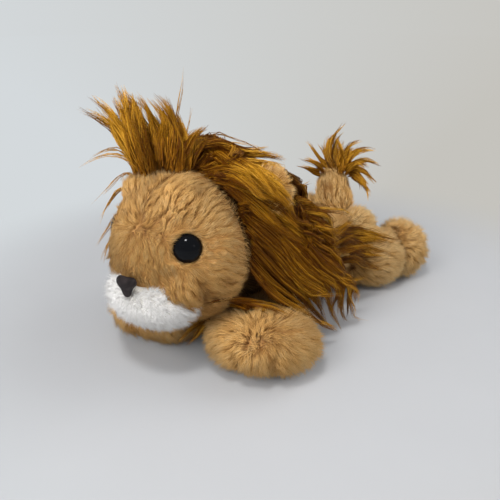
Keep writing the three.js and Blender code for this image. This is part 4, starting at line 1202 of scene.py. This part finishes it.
def head_skin():
    """The head: a ball with a broad soft snout, puffs beside the muzzle, brows and folds."""
    forms = [plump_form(**BALL), plump_form(SNOUT_SPINE, SNOUT_WIDTH, SNOUT_HEIGHT, upward=ALONG),
             *(egg(centre, half) for centre, half in HEAD_PUFFS)]
    skin = sewn_skin("head_skin", [(on_head(p), f) for p, f in forms], voxel=4.0, smoothing=2)
    co = in_head(places(skin.data) / MM)
    for depth, width, line in FACE_FOLDS:
        line = smooth_line(line, 16) if len(line) > 1 else np.array(line, float)
        for side in (1, -1):
            out = in_head(normals(skin.data) + HEAD_CENTRE)
            co = press(co, out, line * (side, 1, 1), depth, width)
            place_points(skin.data, on_head(co) * MM)
    for side in (1, -1):
        eye, axis = eye_place(side)
        height = (co - eye) @ axis
        around = np.linalg.norm(co - eye - height[:, None] * axis, axis=1)
        wall = EYE_RADIUS + np.array(SOCKET_RIM)
        socket = (1 - ramp(around, wall[0], wall[1])) * (co[:, 1] < 0)
        co = co - (np.maximum(height + EYE_SUNK + SOCKET_GAP, 0) * socket)[:, None] * axis
    place_points(skin.data, on_head(co) * MM)

    # Shares of the snout, of the crown, of the face against the back of the head, and of the eyes' rims
    x, y, z = co.T
    side = np.sign(x)
    both_sides = np.stack([side, np.ones_like(x), np.ones_like(x)], 1)
    from_eye = co - both_sides * PARTING
    distance = np.linalg.norm(from_eye, axis=1)
    snout = bump(np.hypot(x - 3, (z - 2) * 0.9), 20) * ramp(-y, 30, 44)
    crown = ramp(z, 16, 38)
    face = ramp(-y, -8, 12)
    rim = 1 - ramp(distance, 11, 16)

    # The pile parts at the eyes, stands up on the crown, hangs from the snout and runs back everywhere
    down_snout = np.stack([x * 0.03, np.full_like(x, -0.2), -np.ones_like(x)], 1)
    flow = (unit(from_eye) * (1.3 * bump(distance, 22) * (1 - 2.2 * rim))[:, None]
            + both_sides * (0.35, 0.3, 1) * (crown * 1.3)[:, None] + down_snout * (snout * 2.0)[:, None]
            + both_sides * (0.9, 0.8, -0.3) * 0.6)
    clear = ramp(distance, EYE_RADIUS - 1.5, EYE_RADIUS - 0.2) * clear_of_nose(co)
    pile = (0.72 + 0.33 * ramp(distance, 12, 30)) * (1 - 0.4 * snout)
    # Painted shade: the pile is darker on the lower cheeks, which turn away from the light
    cheek_shade = bump(np.linalg.norm(co - both_sides * CHEEK_PAINTED_SHADE, axis=1), CHEEK_PAINTED_SHADE_WIDTH)
    # Painted shade: the pile is darker in the fold above the snout, below the brows
    brow_fold_shade = bump(np.hypot(z - 33, (np.abs(x) - 8) * 0.25), 4) * ramp(-y, 36, 44)
    back = (1 - face) * 0.85
    place = on_head(unit(flow)) - HEAD_CENTRE
    tone = 0.54 - 0.2 * cheek_shade - 0.08 * snout - 0.25 * brow_fold_shade + 0.05 * bump(distance, 16)
    comb_skin(skin, place, pile=pile, grow=clear * (1 - back), tone=tone,
              strength=0.55 + 0.45 * ramp(np.linalg.norm(flow, axis=1), 0.2, 1.0))
    grow = read_value(skin.data, "grow")
    keep_value(skin.data, "grow_left", grow * (x > 0))
    keep_value(skin.data, "grow_right", grow * (x <= 0))
    return skin


class LION_OT_skins(bpy.types.Operator):
    """Makes the stuffed skins: torso, head, muzzle, ears, legs and tail"""

    bl_idname = "lion.skins"
    bl_label = "Stuffed skins"

    def execute(self, context):
        torso = sewn_skin("torso_skin", [plump_form(**TORSO)])
        rest_on_floor(torso)
        out = normals(torso.data)
        co = places(torso.data) / MM
        under = ramp(-out[:, 2], 0.4, 0.85)
        comb_skin(torso, (0, 1, -0.35), grow=(1 - 0.85 * under) * (0.12 + 0.88 * ramp(co[:, 1], -30, 0)),
                  tone=0.55)
        wear(torso, tan_backing())
        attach(torso, "torso")
        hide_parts("torso_cover")

        head = head_skin()
        wear(head, tan_backing(), mane_backing())
        behind = in_head(places(head.data) / MM)[:, 1] > BROWN_BEHIND
        for polygon in head.data.polygons:
            polygon.material_index = int(all(behind[i] for i in polygon.vertices))
        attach(head, "head")
        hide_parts("head_cover")

        for name in LEGS:
            leg = paw_skin(name) if name.startswith("front") else haunch_skin(name)
            wear(leg, tan_backing())
            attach(leg, name)
            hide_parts(f"{name}_cover")

        points, faces = plump_form(MUZZLE_SPINE, MUZZLE_WIDTH, MUZZLE_HEIGHT, inset=4)
        muzzle = sewn_skin("muzzle_skin", [(on_head(points), faces)], voxel=4.0, smoothing=2, lump=0.4)
        co = in_head(places(muzzle.data) / MM)
        flow = unit(co - NOSE_POLE) + (0, 0, -0.3)
        comb_skin(muzzle, on_head(flow) - HEAD_CENTRE, grow=clear_of_nose(co), tone=0.6, strength=0.7)
        wear(muzzle, white_backing())
        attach(muzzle, "head")
        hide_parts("muzzle")

        for name, side in (("left", 1), ("right", -1)):
            root, lean = EAR_ROOT * (side, 1, 1), unit(EAR_LEAN * (side, 1, 1))
            points, faces = plump_form((root, root + lean * EAR_LENGTH), EAR_WIDTH, EAR_THICKNESS,
                                       upward=ALONG, inset=2.2)
            ear = sewn_skin(f"ear_{name}_skin", [(on_head(points), faces)], voxel=2.4, smoothing=2, lump=0.5)
            co = in_head(places(ear.data) / MM)
            comb_skin(ear, on_head(co - root + lean * 8) - HEAD_CENTRE, pile=0.8, tone=0.6)
            wear(ear, tan_backing())
            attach(ear, "head")
            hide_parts(f"ear_{name}")

        tail = sewn_skin("tail_skin", [plump_form((TAIL_ROOT, TAIL_TIP), **TAIL)], voxel=4.0, smoothing=2,
                         lump=0.5)
        comb_skin(tail, unit(TAIL_TIP - TAIL_ROOT) + (0, 0, 0.2), pile=0.75, tone=0.62)
        wear(tail, tan_backing())
        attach(tail, "tail")
        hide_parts("tail")
        return {"FINISHED"}


def hide_pile_inside(name, others):
    """Thins a skin's pile where the skin lies inside its neighbours."""
    skin = bpy.data.objects[name]
    co = places(skin.data)
    grow = read_value(skin.data, "grow")
    for other in others:
        grow = grow * (1 - ramp(depth_in(co, tree_of(bpy.data.objects[other])), 1 * MM, 5 * MM))
    keep_value(skin.data, "grow", grow)
    for half in ("grow_left", "grow_right"):
        if half in skin.data.attributes:
            keep_value(skin.data, half, grow * (read_value(skin.data, half) > 0))


class LION_OT_short_pile(bpy.types.Operator):
    """Grows the short tan and white pile on the skins"""

    bl_idname = "lion.short_pile"
    bl_label = "Short pile"

    def execute(self, context):
        s = sizes()
        legs = [f"{name}_skin" for name in LEGS]
        for name in legs:
            hide_pile_inside(name, ["torso_skin", "head_skin"])
        hide_pile_inside("torso_skin", [*legs, "head_skin", "tail_skin",
                                        *(f"mane_{part}_backing" for part in ("nape", "left", "right"))])
        hide_pile_inside("head_skin", ["torso_skin", "muzzle_skin"])
        hide_pile_inside("muzzle_skin", ["head_skin"])
        hide_pile_inside("tail_skin", ["torso_skin"])
        for name in ("ear_left_skin", "ear_right_skin"):
            hide_pile_inside(name, ["head_skin"])
        objects = bpy.data.objects
        for number, name in enumerate(LEGS):
            pile = grow_pile(f"{name}_pile", objects[f"{name}_skin"], tan_pile(), 10 + number, s.body_pile,
                             lift=0.6, clump=0.7, swirl=0.4, stray=0.22)
            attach(pile, name)
        pile = grow_pile("torso_pile", objects["torso_skin"], tan_pile(), 20, s.body_pile, lift=0.6,
                         stray=0.22)
        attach(pile, "torso")
        for half in ("left", "right"):
            pile = grow_pile(f"face_pile_{half}", objects["head_skin"], tan_pile(), 30, s.face_pile,
                             grow=f"grow_{half}", lift=0.5, clump=0.75, clump_size=5 * MM, swirl=0.35,
                             stray=0.2, per_square_metre=1.15 * s.pile_per_mm2 / MM ** 2)
            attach(pile, "head")
            pile = grow_pile(f"ear_{half}_pile", objects[f"ear_{half}_skin"], tan_pile(), 41, s.face_pile,
                             lift=0.5)
            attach(pile, "head")
        pile = grow_pile("muzzle_pile", objects["muzzle_skin"], white_pile(), 50, 6.5 * MM, lift=0.65,
                         clump=0.6, swirl=0.25, stray=0.3, per_square_metre=1.25 * s.pile_per_mm2 / MM ** 2)
        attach(pile, "head")
        pile = grow_pile("tail_pile", objects["tail_skin"], tan_pile(), 60, s.body_pile, lift=0.5, stray=0.2)
        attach(pile, "tail")
        return {"FINISHED"}


def ring_faces(rings, sides):
    """Faces between rings that follow each other, all with the same number of points."""
    return [tuple(r * sides + k for k in (i, (i + 1) % sides, (i + 1) % sides + sides, i + sides))
            for r in range(rings - 1) for i in range(sides)]


def lathe(name, profile, centre, axis, sides=64):
    """A turned piece: a profile of (radius, height) round an axis."""
    axis = unit(np.asarray(axis, float))
    side = unit(np.cross(axis, (0.3, 0.2, 1.0)))
    other = np.cross(axis, side)
    angles = 2 * np.pi * np.arange(sides) / sides
    spokes = np.cos(angles)[:, None] * side + np.sin(angles)[:, None] * other
    points = [centre + radius * spokes + height * axis for radius, height in profile]
    return mesh_object(name, np.vstack(points), ring_faces(len(profile), sides))


class LION_OT_face(bpy.types.Operator):
    """Makes the moulded eyes and the cloth nose"""

    bl_idname = "lion.face"
    bl_label = "Eyes and nose"

    def execute(self, context):
        shine = material("moulded_black_polystyrene", eye_material)
        for name, side in (("left", 1), ("right", -1)):
            local, axis = eye_place(side)
            centre = on_head(local - axis * EYE_SUNK)
            way = on_head(axis) - HEAD_CENTRE
            angles = np.linspace(0, math.pi / 2, 18)
            dome = [(max(EYE_RADIUS * math.cos(a), 0.001), EYE_HEIGHT * math.sin(a)) for a in angles]
            profile = [*EYE_SHANK, (EYE_RADIUS - 0.6, -0.3), (EYE_RADIUS - 0.1, -0.1), *dome]
            eye = lathe(f"eye_{name}_dome", profile, centre, way)
            eye.data.shade_smooth()
            wear(eye, shine)
            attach(eye, "head")
            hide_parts(f"eye_{name}")

        mirror_half = [(-x, z) for x, z in NOSE_OUTLINE[-2:0:-1]]
        whole = np.array([*NOSE_OUTLINE, *mirror_half], float) * NOSE_SCALE
        whole[:, 1] += NOSE_TILT * whole[:, 0]
        sides, rings = len(whole), len(NOSE_RINGS)
        points = np.vstack([
            np.stack([whole[:, 0] * share, np.full(sides, y), whole[:, 1] * share], 1) + NOSE_CENTRE
            for share, y in NOSE_RINGS])
        ends = [tuple(range(sides)), tuple(range((rings - 1) * sides, rings * sides))]
        faces = ring_faces(rings, sides) + ends
        nose = mesh_object("nose_pad", on_head(points), faces)
        soft = nose.modifiers.new("Soft edge", "SUBSURF")
        soft.levels = soft.render_levels = 2
        apply_modifiers(nose)
        nose.data.shade_smooth()
        wear(nose, material("brushed_black_satin", nose_material))
        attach(nose, "head")
        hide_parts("nose")
        return {"FINISHED"}


# Mane

def smooth_line(points, count):
    """Evenly placed points on a smooth curve through the given ones."""
    t = np.linspace(0, 1, 8 * count)
    line = np.stack([share_at([p[k] for p in points], t) for k in range(3)], 1)
    lengths = np.concatenate([[0], np.cumsum(np.linalg.norm(np.diff(line, axis=0), axis=1))])
    even = np.linspace(0, lengths[-1], count)
    return np.stack([np.interp(even, lengths, line[:, k]) for k in range(3)], 1)


def mirrored(locks):
    """The same locks on the lion's other side."""
    return tuple((half, count, tone, tuple((-x, y, z) for x, y, z in points))
                 for half, count, tone, points in locks)


def with_locks_between(locks, number, deeper, seed, spread=(0, 0, 0), lighter=0.0, fan=0.0):
    """Locks with as many more as asked for, each between two neighbours in the row, deeper and fanned out."""
    made = [(half, count, tone + lighter, smooth_line(points, LINE_POINTS), 0.0)
            for half, count, tone, points in locks]
    given, dice, thickness = list(made), np.random.default_rng(seed), np.random.default_rng(seed + 100)
    for _ in range(number):
        first = dice.integers(0, len(given) - 1)
        a, b = given[first], given[first + 1]
        if np.linalg.norm(a[3] - b[3], axis=1).mean() > NOT_NEIGHBOURS:
            continue
        t = dice.uniform(0.15, 0.85)  # its place between the two
        line = a[3] * (1 - t) + b[3] * t
        start, end = dice.uniform(0, 0.25), dice.uniform(0.75, 1.0)  # the part of that line which is kept
        line = smooth_line(line[int(start * LINE_POINTS):max(int(end * LINE_POINTS), 6)], LINE_POINTS)
        line = line + np.array(spread) * dice.uniform(-1, 1)
        line = line + np.linspace(0, 1, LINE_POINTS)[:, None] ** 1.5 * dice.uniform(-fan, fan, 3)
        tone = a[2] * (1 - t) + b[2] * t + dice.uniform(-0.16, 0.1)
        width = max(a[0], b[0]) * thickness.uniform(0.6, 1.05)
        made.append((width, STRANDS_BETWEEN, tone, line, deeper * dice.uniform(0.5, 1)))
    return made


def lay_on(line, trees, clearance, deeper):
    """A lock's line moved out of what it lies on, with the way outwards at each of its points.

    A surface turns that way where it is nearer than NEAR, and moves a point that lies up to DEEPEST in it.
    """
    moved, outwards = [], []
    for point in line:
        point, way = Vector(point * MM), Vector((0, 0, 0))
        for tree in trees:
            found, normal, _, distance = tree.find_nearest(point)
            short = clearance * MM - (point - found).dot(normal)
            near = max(0.0, 1 - distance / (NEAR * MM))
            way += normal * near * near
            if 0 < short < DEEPEST * MM:
                point = point + normal * short
        way = way.normalized() if way.length > 1e-6 else Vector((0, 0, 1))
        moved.append(point - way * deeper * MM)
        outwards.append(way)
    moved, outwards = np.array(moved), np.array(outwards)
    for _ in range(2):
        moved[1:-1] = (moved[:-2] + 2 * moved[1:-1] + moved[2:]) / 4
        outwards[1:-1] = (outwards[:-2] + 2 * outwards[1:-1] + outwards[2:]) / 4
    return moved, unit(outwards)


def guide_lines(name, locks, trees, clearance=1.0, profile=(0.8, 1, 0.85, 0.5, 0.1), shortest=1.0):
    """An object of one line for each lock, which carries what its strands need to know."""
    mesh = bpy.data.meshes.new(name)
    points, edges, outwards = [], [], []
    values = {"count": [], "half": [], "tone": [], "shortest": []}
    share = sizes().hair_share
    for half, count, tone, line, deeper in locks:
        line, out = lay_on(line, trees, clearance, deeper)
        first = len(points)
        points += line.tolist()
        edges += [(first + i, first + i + 1) for i in range(len(line) - 1)]
        outwards.append(out)
        values["count"] += [max(3.0, count * share)] * len(line)
        values["half"] += (half * MM * share_at(profile, np.linspace(0, 1, len(line)))).tolist()
        values["tone"] += [tone] * len(line)
        values["shortest"] += [shortest] * len(line)
    mesh.from_pydata(points, edges, [])
    for key, row in values.items():
        keep_value(mesh, key, row)
    keep_value(mesh, "out", np.vstack(outwards))
    return new_object(name, mesh)


def grow_hair(name, guides, seed, **values):
    """Long hair round guide lines, as a piece of its own."""
    s = sizes()
    given = {"Half width": s.hair_width, "Seed": s.seed + seed, "Material": mane_hair()}
    given.update({key.replace("_", " ").capitalize(): value for key, value in values.items()})
    piece = grown_from(guides, name, hair_tree(), given)
    bpy.data.objects.remove(guides)
    return piece


def soft_copy(source, name, shrink, voxel=4.0, smoothing=6, lump=0.0, lump_size=14):
    """A closed soft form of a piece, smaller all round but nowhere by more than a third of its thickness."""
    piece = new_object(name, source.data.copy())
    piece.data.name = name
    made = bmesh.new()
    made.from_mesh(piece.data)
    made.transform(source.matrix_world)
    bmesh.ops.remove_doubles(made, verts=made.verts, dist=0.01 * MM)
    made.to_mesh(piece.data)
    made.free()
    merge_and_soften(piece, voxel, smoothing)
    co, out = places(piece.data), normals(piece.data)
    lumps = lumps_at(co, lump_size) * lump
    tree = tree_of(piece)
    through = [tree.ray_cast(Vector(p - n * 0.1 * MM), Vector(-n))[3] or 0.0 for p, n in zip(co, out)]
    inwards = np.minimum(shrink, np.array(through) / MM / 3)
    place_points(piece.data, co + out * ((lumps - inwards) * MM)[:, None])
    return piece


def fit_nape_backing(co):
    """Keeps the nape's backing below its hair's path, but widens and lowers it at the head against a gap."""
    _, along, height = np.array(NAPE_PATH).T
    y = co[:, 1] / MM
    top = np.interp(y, along, height) - 6 - NAPE_DROOP * (co[:, 0] / (NAPE_HALF * MM)) ** 2
    top += 24 * (1 - ramp(y, -84, -60))
    co[:, 2] = np.minimum(co[:, 2], top * MM)
    front = 1 - ramp(y, -78, -54)
    co[:, 0] *= 1 + 0.32 * front
    co[:, 1] -= 15 * MM * front
    z = co[:, 2] / MM
    front_fall = 20 * front * (1 - ramp(z, 130, 143))
    rear_fall = 10 * (1 - front) * (1 - ramp(z, top - 14, top - 5))
    co[:, 2] -= (front_fall + rear_fall) * MM


def fit_side_backing(co):
    """Ends a side's backing where its locks still cover it, to the rear and at its lower edge."""
    rear = (-31 - 20 * ramp(co[:, 2] / MM, 78, 104)) * MM
    co[:, 1], co[:, 2] = np.minimum(co[:, 1], rear), np.maximum(co[:, 2], 42 * MM)


class LION_OT_mane(bpy.types.Operator):
    """Makes the mane: its dark backing, the combed sides and nape, and the crown with its loose locks"""

    bl_idname = "lion.mane"
    bl_label = "Mane"

    def execute(self, context):
        for part, body, shrink, fit in (("nape", "head", 6.0, fit_nape_backing),
                                        ("left", "torso", 22.0, fit_side_backing),
                                        ("right", "torso", 22.0, fit_side_backing)):
            base = soft_copy(frame["nodes"][f"mane_{part}"], f"mane_{part}_backing", shrink)
            co = places(base.data)
            fit(co)
            place_points(base.data, co)
            wear(base, mane_backing())
            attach(base, body)
            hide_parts(f"mane_{part}")
        objects = bpy.data.objects
        names = ["torso_skin", "head_skin", "ear_left_skin", "ear_right_skin", "front_leg_left_skin",
                 "front_leg_right_skin", *(f"mane_{part}_backing" for part in ("nape", "left", "right"))]
        trees = [tree_of(objects[name]) for name in names]
        head = tree_of(objects["head_skin"])

        def rooted(locks):
            """The locks, each starting on the head's skin."""
            return [(*rest, (tuple(head.find_nearest(Vector(line[0]) * MM)[0] / MM), *line))
                    for *rest, line in locks]

        # The locks, how many more go between them, their seed, and the change of tone of them all
        rows = {
            "mane_left_top_hair": (UPPER_LOCKS, 30, 1, -0.24),
            "mane_left_low_hair": (LOWER_LOCKS, 36, 2, -0.32),
            "mane_right_top_hair": (mirrored(UPPER_LOCKS), 12, 3, -0.24),
            "mane_right_low_hair": (mirrored(LOWER_LOCKS[:-2]), 12, 4, -0.32),
            "mane_nape_hair": (rooted(NAPE_LOCKS), 16, 5, -0.05),
            "mane_left_chest_hair": (CHEST_LOCKS, 6, 9, 0.0),
        }
        for name, (locks, more, seed, lighter) in rows.items():
            fan = 2.0 if "nape" in name else 5.0
            clearance = 7.0 if "chest" in name else 1.0
            guides = guide_lines(name + "_lines",
                                 with_locks_between(locks, more, 3.0, seed, lighter=lighter, fan=fan),
                                 trees, clearance=clearance)
            hair = grow_hair(name, guides, seed, tone_spread=0.62)
            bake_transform(hair, "head", "torso", start=tuple(BLEND_START * MM), end=tuple(BLEND_END * MM))
            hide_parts(f"mane_{name.split('_')[1]}")

        locks = with_locks_between(rooted(CROWN_LOCKS), 50, 0.0, 6, (-8, 8, -5), -0.1, 5.0)
        crown = guide_lines("crown_lines", locks, [head], profile=(0.8, 1, 0.75, 0.35, 0.06))
        hair = grow_hair("mane_crown_hair", crown, 6, wave=4 * MM, flatness=0.8, tone_spread=0.4)
        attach(hair, "head")
        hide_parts("mane_crown")
        locks = with_locks_between(rooted(STRAY_LOCKS), 0, 0.0, 7)
        strays = guide_lines("stray_lines", locks, [], shortest=0.7)
        hair = grow_hair("mane_stray_hair", strays, 7, flatness=1.0, wave=2 * MM)
        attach(hair, "head")
        return {"FINISHED"}


class LION_OT_tail_tuft(bpy.types.Operator):
    """Makes the dark tuft of long hair on the tail"""

    bl_idname = "lion.tail_tuft"
    bl_label = "Tail tuft"

    def execute(self, context):
        locks = with_locks_between(TUFT_LOCKS, 18, 0.0, 8, (3, 3, 2), fan=6.0)
        lines = guide_lines("tuft_lines", locks, [], profile=(1.7, 1.7, 0.9, 0.4, 0.08))
        hair = grow_hair("tail_tuft_hair", lines, 8, flatness=1.0, wave=4 * MM, shortest=0.5, tone_spread=0.4)
        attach(hair, "tail")
        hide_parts("tail_tuft")
        return {"FINISHED"}


class LION_OT_filling(bpy.types.Operator):
    """Makes the fibre filling, the pouch of pellets and the washers behind the eyes"""

    bl_idname = "lion.filling"
    bl_label = "Filling and washers"

    def execute(self, context):
        fibre = material("loose_polyester_fibre", fibre_material)
        for body in ("torso", "head", *LEGS):
            if body in LEGS:
                source, shrink, lump = bpy.data.objects[f"{body}_skin"], 3.0, 0.8
            else:
                source, shrink, lump = frame["nodes"][f"{body}_stuffing"], 1.5, 1.2
            piece = soft_copy(source, f"{body}_fibre", shrink, voxel=5.0, lump=lump)
            wear(piece, fibre)
            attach(piece, body)
            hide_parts(f"{body}_stuffing")
        pouch = soft_copy(frame["nodes"]["pellet_pouch"], "pellet_pouch_cloth", 1.0, voxel=3.0, smoothing=4,
                          lump=0.8)
        wear(pouch, material("woven_cotton", pouch_material))
        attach(pouch, "torso")
        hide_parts("pellet_pouch")
        for name in ("eye_washer_left", "eye_washer_right"):
            wear(frame["nodes"][name], material("moulded_nylon", nylon_material))
        return {"FINISHED"}


class LION_OT_stage(bpy.types.Operator):
    """Makes the pale floor, the soft lamps and the camera"""

    bl_idname = "lion.stage"
    bl_label = "Floor, lamps and camera"

    def execute(self, context):
        scene = context.scene
        sin, cos = math.sin(CAMERA_AZIMUTH), math.cos(CAMERA_AZIMUTH)
        level = math.cos(CAMERA_ELEVATION)
        back = Vector((sin * level, -cos * level, math.sin(CAMERA_ELEVATION)))
        camera = bpy.data.objects.new("camera", bpy.data.cameras.new("camera"))
        scene.collection.objects.link(camera)
        camera.location = CAMERA_TARGET + back * CAMERA_DISTANCE
        camera.rotation_euler = (-back).to_track_quat("-Z", "Y").to_euler()
        camera.data.sensor_width = CAMERA_SENSOR
        camera.data.lens = CAMERA_SENSOR / 2 / math.tan(CAMERA_FIELD / 2)
        camera.data.clip_start, camera.data.clip_end = 0.01, 50
        scene.camera = camera

        corners = np.array([(-1, -1, 0), (1, -1, 0), (1, 1, 0), (-1, 1, 0)]) * FLOOR_HALF
        floor = mesh_object("floor", corners, [(0, 1, 2, 3)])
        wear(floor, floor_material())

        right, front = Vector((cos, sin, 0)), Vector((sin, -cos, 0))
        for name, (across, ahead, up, size, power, mirrored_in_eyes) in LAMPS.items():
            place = right * across + front * ahead + Vector((0, 0, up))
            lamp = bpy.data.objects.new(name, bpy.data.lights.new(name, "AREA"))
            lamp.data.shape, lamp.data.size, lamp.data.energy = "SQUARE", size, power
            lamp.location = place
            lamp.rotation_euler = (CAMERA_TARGET - place).to_track_quat("-Z", "Y").to_euler()
            lamp.visible_glossy = mirrored_in_eyes
            scene.collection.objects.link(lamp)
        world_light(scene)
        scene.view_settings.view_transform = "Standard"
        return {"FINISHED"}


def seen_colour(tree, vector):
    """Pale background colour of a direction: painted light, lighter and cooler on the window's side and
    warming towards the other.
    """
    right = (math.sqrt(0.5), math.sqrt(0.5), 0.0)
    way = add_node(tree, VECTOR_MATH, {"operation": "NORMALIZE"}, {0: vector})
    across = add_node(tree, VECTOR_MATH, {"operation": "DOT_PRODUCT"}, {0: way, 1: right})
    part = add_node(tree, "ShaderNodeMapRange", (),
                    {"Value": across.outputs["Value"], "From Min": -0.5, "From Max": 0.5})
    tones = add_node(tree, "ShaderNodeValToRGB", (), {"Fac": part})
    set_stops(tones, [(0.0, to_linear(BACKGROUND_LEFT)), (1.0, to_linear(BACKGROUND_RIGHT))])
    return tones.outputs["Color"]


def floor_material():
    """Matt painted board: plain and pale, fading into the backdrop a little way off."""
    material, tree, shader = new_material("matt_painted_board")
    place = add_node(tree, "ShaderNodeTexCoord").outputs["Object"]
    grain = add_node(tree, "ShaderNodeTexNoise", (), {"Vector": place, "Scale": 1 / (60 * MM), "Detail": 4.0})
    tones = add_node(tree, "ShaderNodeValToRGB", (), {"Fac": grain.outputs["Fac"]})
    base = tuple(colours().floor)
    set_stops(tones, [(0.3, tuple(c * 0.985 for c in base)), (0.7, base)])
    tree.links.new(tones.outputs["Color"], shader.inputs["Base Color"])
    shader.inputs["Roughness"].default_value = 0.9
    shader.inputs["Specular IOR Level"].default_value = 0.1
    far = add_node(tree, VECTOR_MATH, {"operation": "LENGTH"}, {0: place})
    fade = add_node(tree, "ShaderNodeMapRange", {"interpolation_type": "SMOOTHSTEP"},
                    {"Value": far.outputs["Value"], "From Min": FLOOR_FADE[0], "From Max": FLOOR_FADE[1]})
    rays = add_node(tree, "ShaderNodeLightPath")
    seen = add_node(tree, MATH, {"operation": "MAXIMUM"},
                    {0: rays.outputs["Is Camera Ray"], 1: rays.outputs["Is Glossy Ray"]})
    part = add_node(tree, MATH, TIMES, {0: seen, 1: fade})
    glow = add_node(tree, "ShaderNodeEmission", (), {"Color": seen_colour(tree, place), "Strength": 1.0})
    mixed = add_node(tree, "ShaderNodeMixShader", (), {0: part, 1: shader, 2: glow})
    end = next(n for n in tree.nodes if n.type == "OUTPUT_MATERIAL")
    tree.links.new(mixed.outputs[0], end.inputs["Surface"])
    return material


def world_light(scene):
    """Even light from all sides, and the pale background that the camera sees."""
    world = bpy.data.worlds.new("studio")
    scene.world = world
    world.use_nodes = True
    tree = world.node_tree
    tree.nodes.clear()
    rays = add_node(tree, "ShaderNodeLightPath")
    seen = rays.outputs["Is Camera Ray"]
    way = add_node(tree, "ShaderNodeTexCoord").outputs["Generated"]
    light = add_node(tree, "ShaderNodeBackground", (),
                     {"Color": (*to_linear(SKY_COLOUR), 1), "Strength": SKY_STRENGTH})
    shown = add_node(tree, "ShaderNodeBackground", (), {"Color": seen_colour(tree, way), "Strength": 1.0})
    mixed = add_node(tree, "ShaderNodeMixShader", (), {0: seen, 1: light, 2: shown})
    add_node(tree, "ShaderNodeOutputWorld", (), {"Surface": mixed})


class LION_PT_panel(bpy.types.Panel):
    """Lists the steps that make the lion"""

    bl_idname = "LION_PT_panel"
    bl_label = "Plush lion"
    bl_space_type = "VIEW_3D"
    bl_region_type = "UI"
    bl_category = "Lion"

    def draw(self, context):
        for operator in OPERATORS:
            self.layout.operator(operator.bl_idname)
        for group in (context.scene.lion_sizes, context.scene.lion_colours):
            box = self.layout.box()
            for name in group.__annotations__:
                box.prop(group, name)


OPERATORS = (LION_OT_stage, LION_OT_skins, LION_OT_filling, LION_OT_face, LION_OT_mane, LION_OT_short_pile,
             LION_OT_tail_tuft)
CLASSES = (LionSizes, LionColours, *OPERATORS, LION_PT_panel)


def register():
    for item in CLASSES:
        bpy.utils.register_class(item)
    bpy.types.Scene.lion_sizes = bpy.props.PointerProperty(type=LionSizes)
    bpy.types.Scene.lion_colours = bpy.props.PointerProperty(type=LionColours)


def unregister():
    del bpy.types.Scene.lion_colours
    del bpy.types.Scene.lion_sizes
    for item in reversed(CLASSES):
        bpy.utils.unregister_class(item)


def main():
    register()
    bpy.ops.lion.stage()
    bpy.ops.lion.skins()
    bpy.ops.lion.filling()
    bpy.ops.lion.face()
    bpy.ops.lion.mane()
    bpy.ops.lion.short_pile()
    bpy.ops.lion.tail_tuft()


if __name__ == "__main__":
    main()
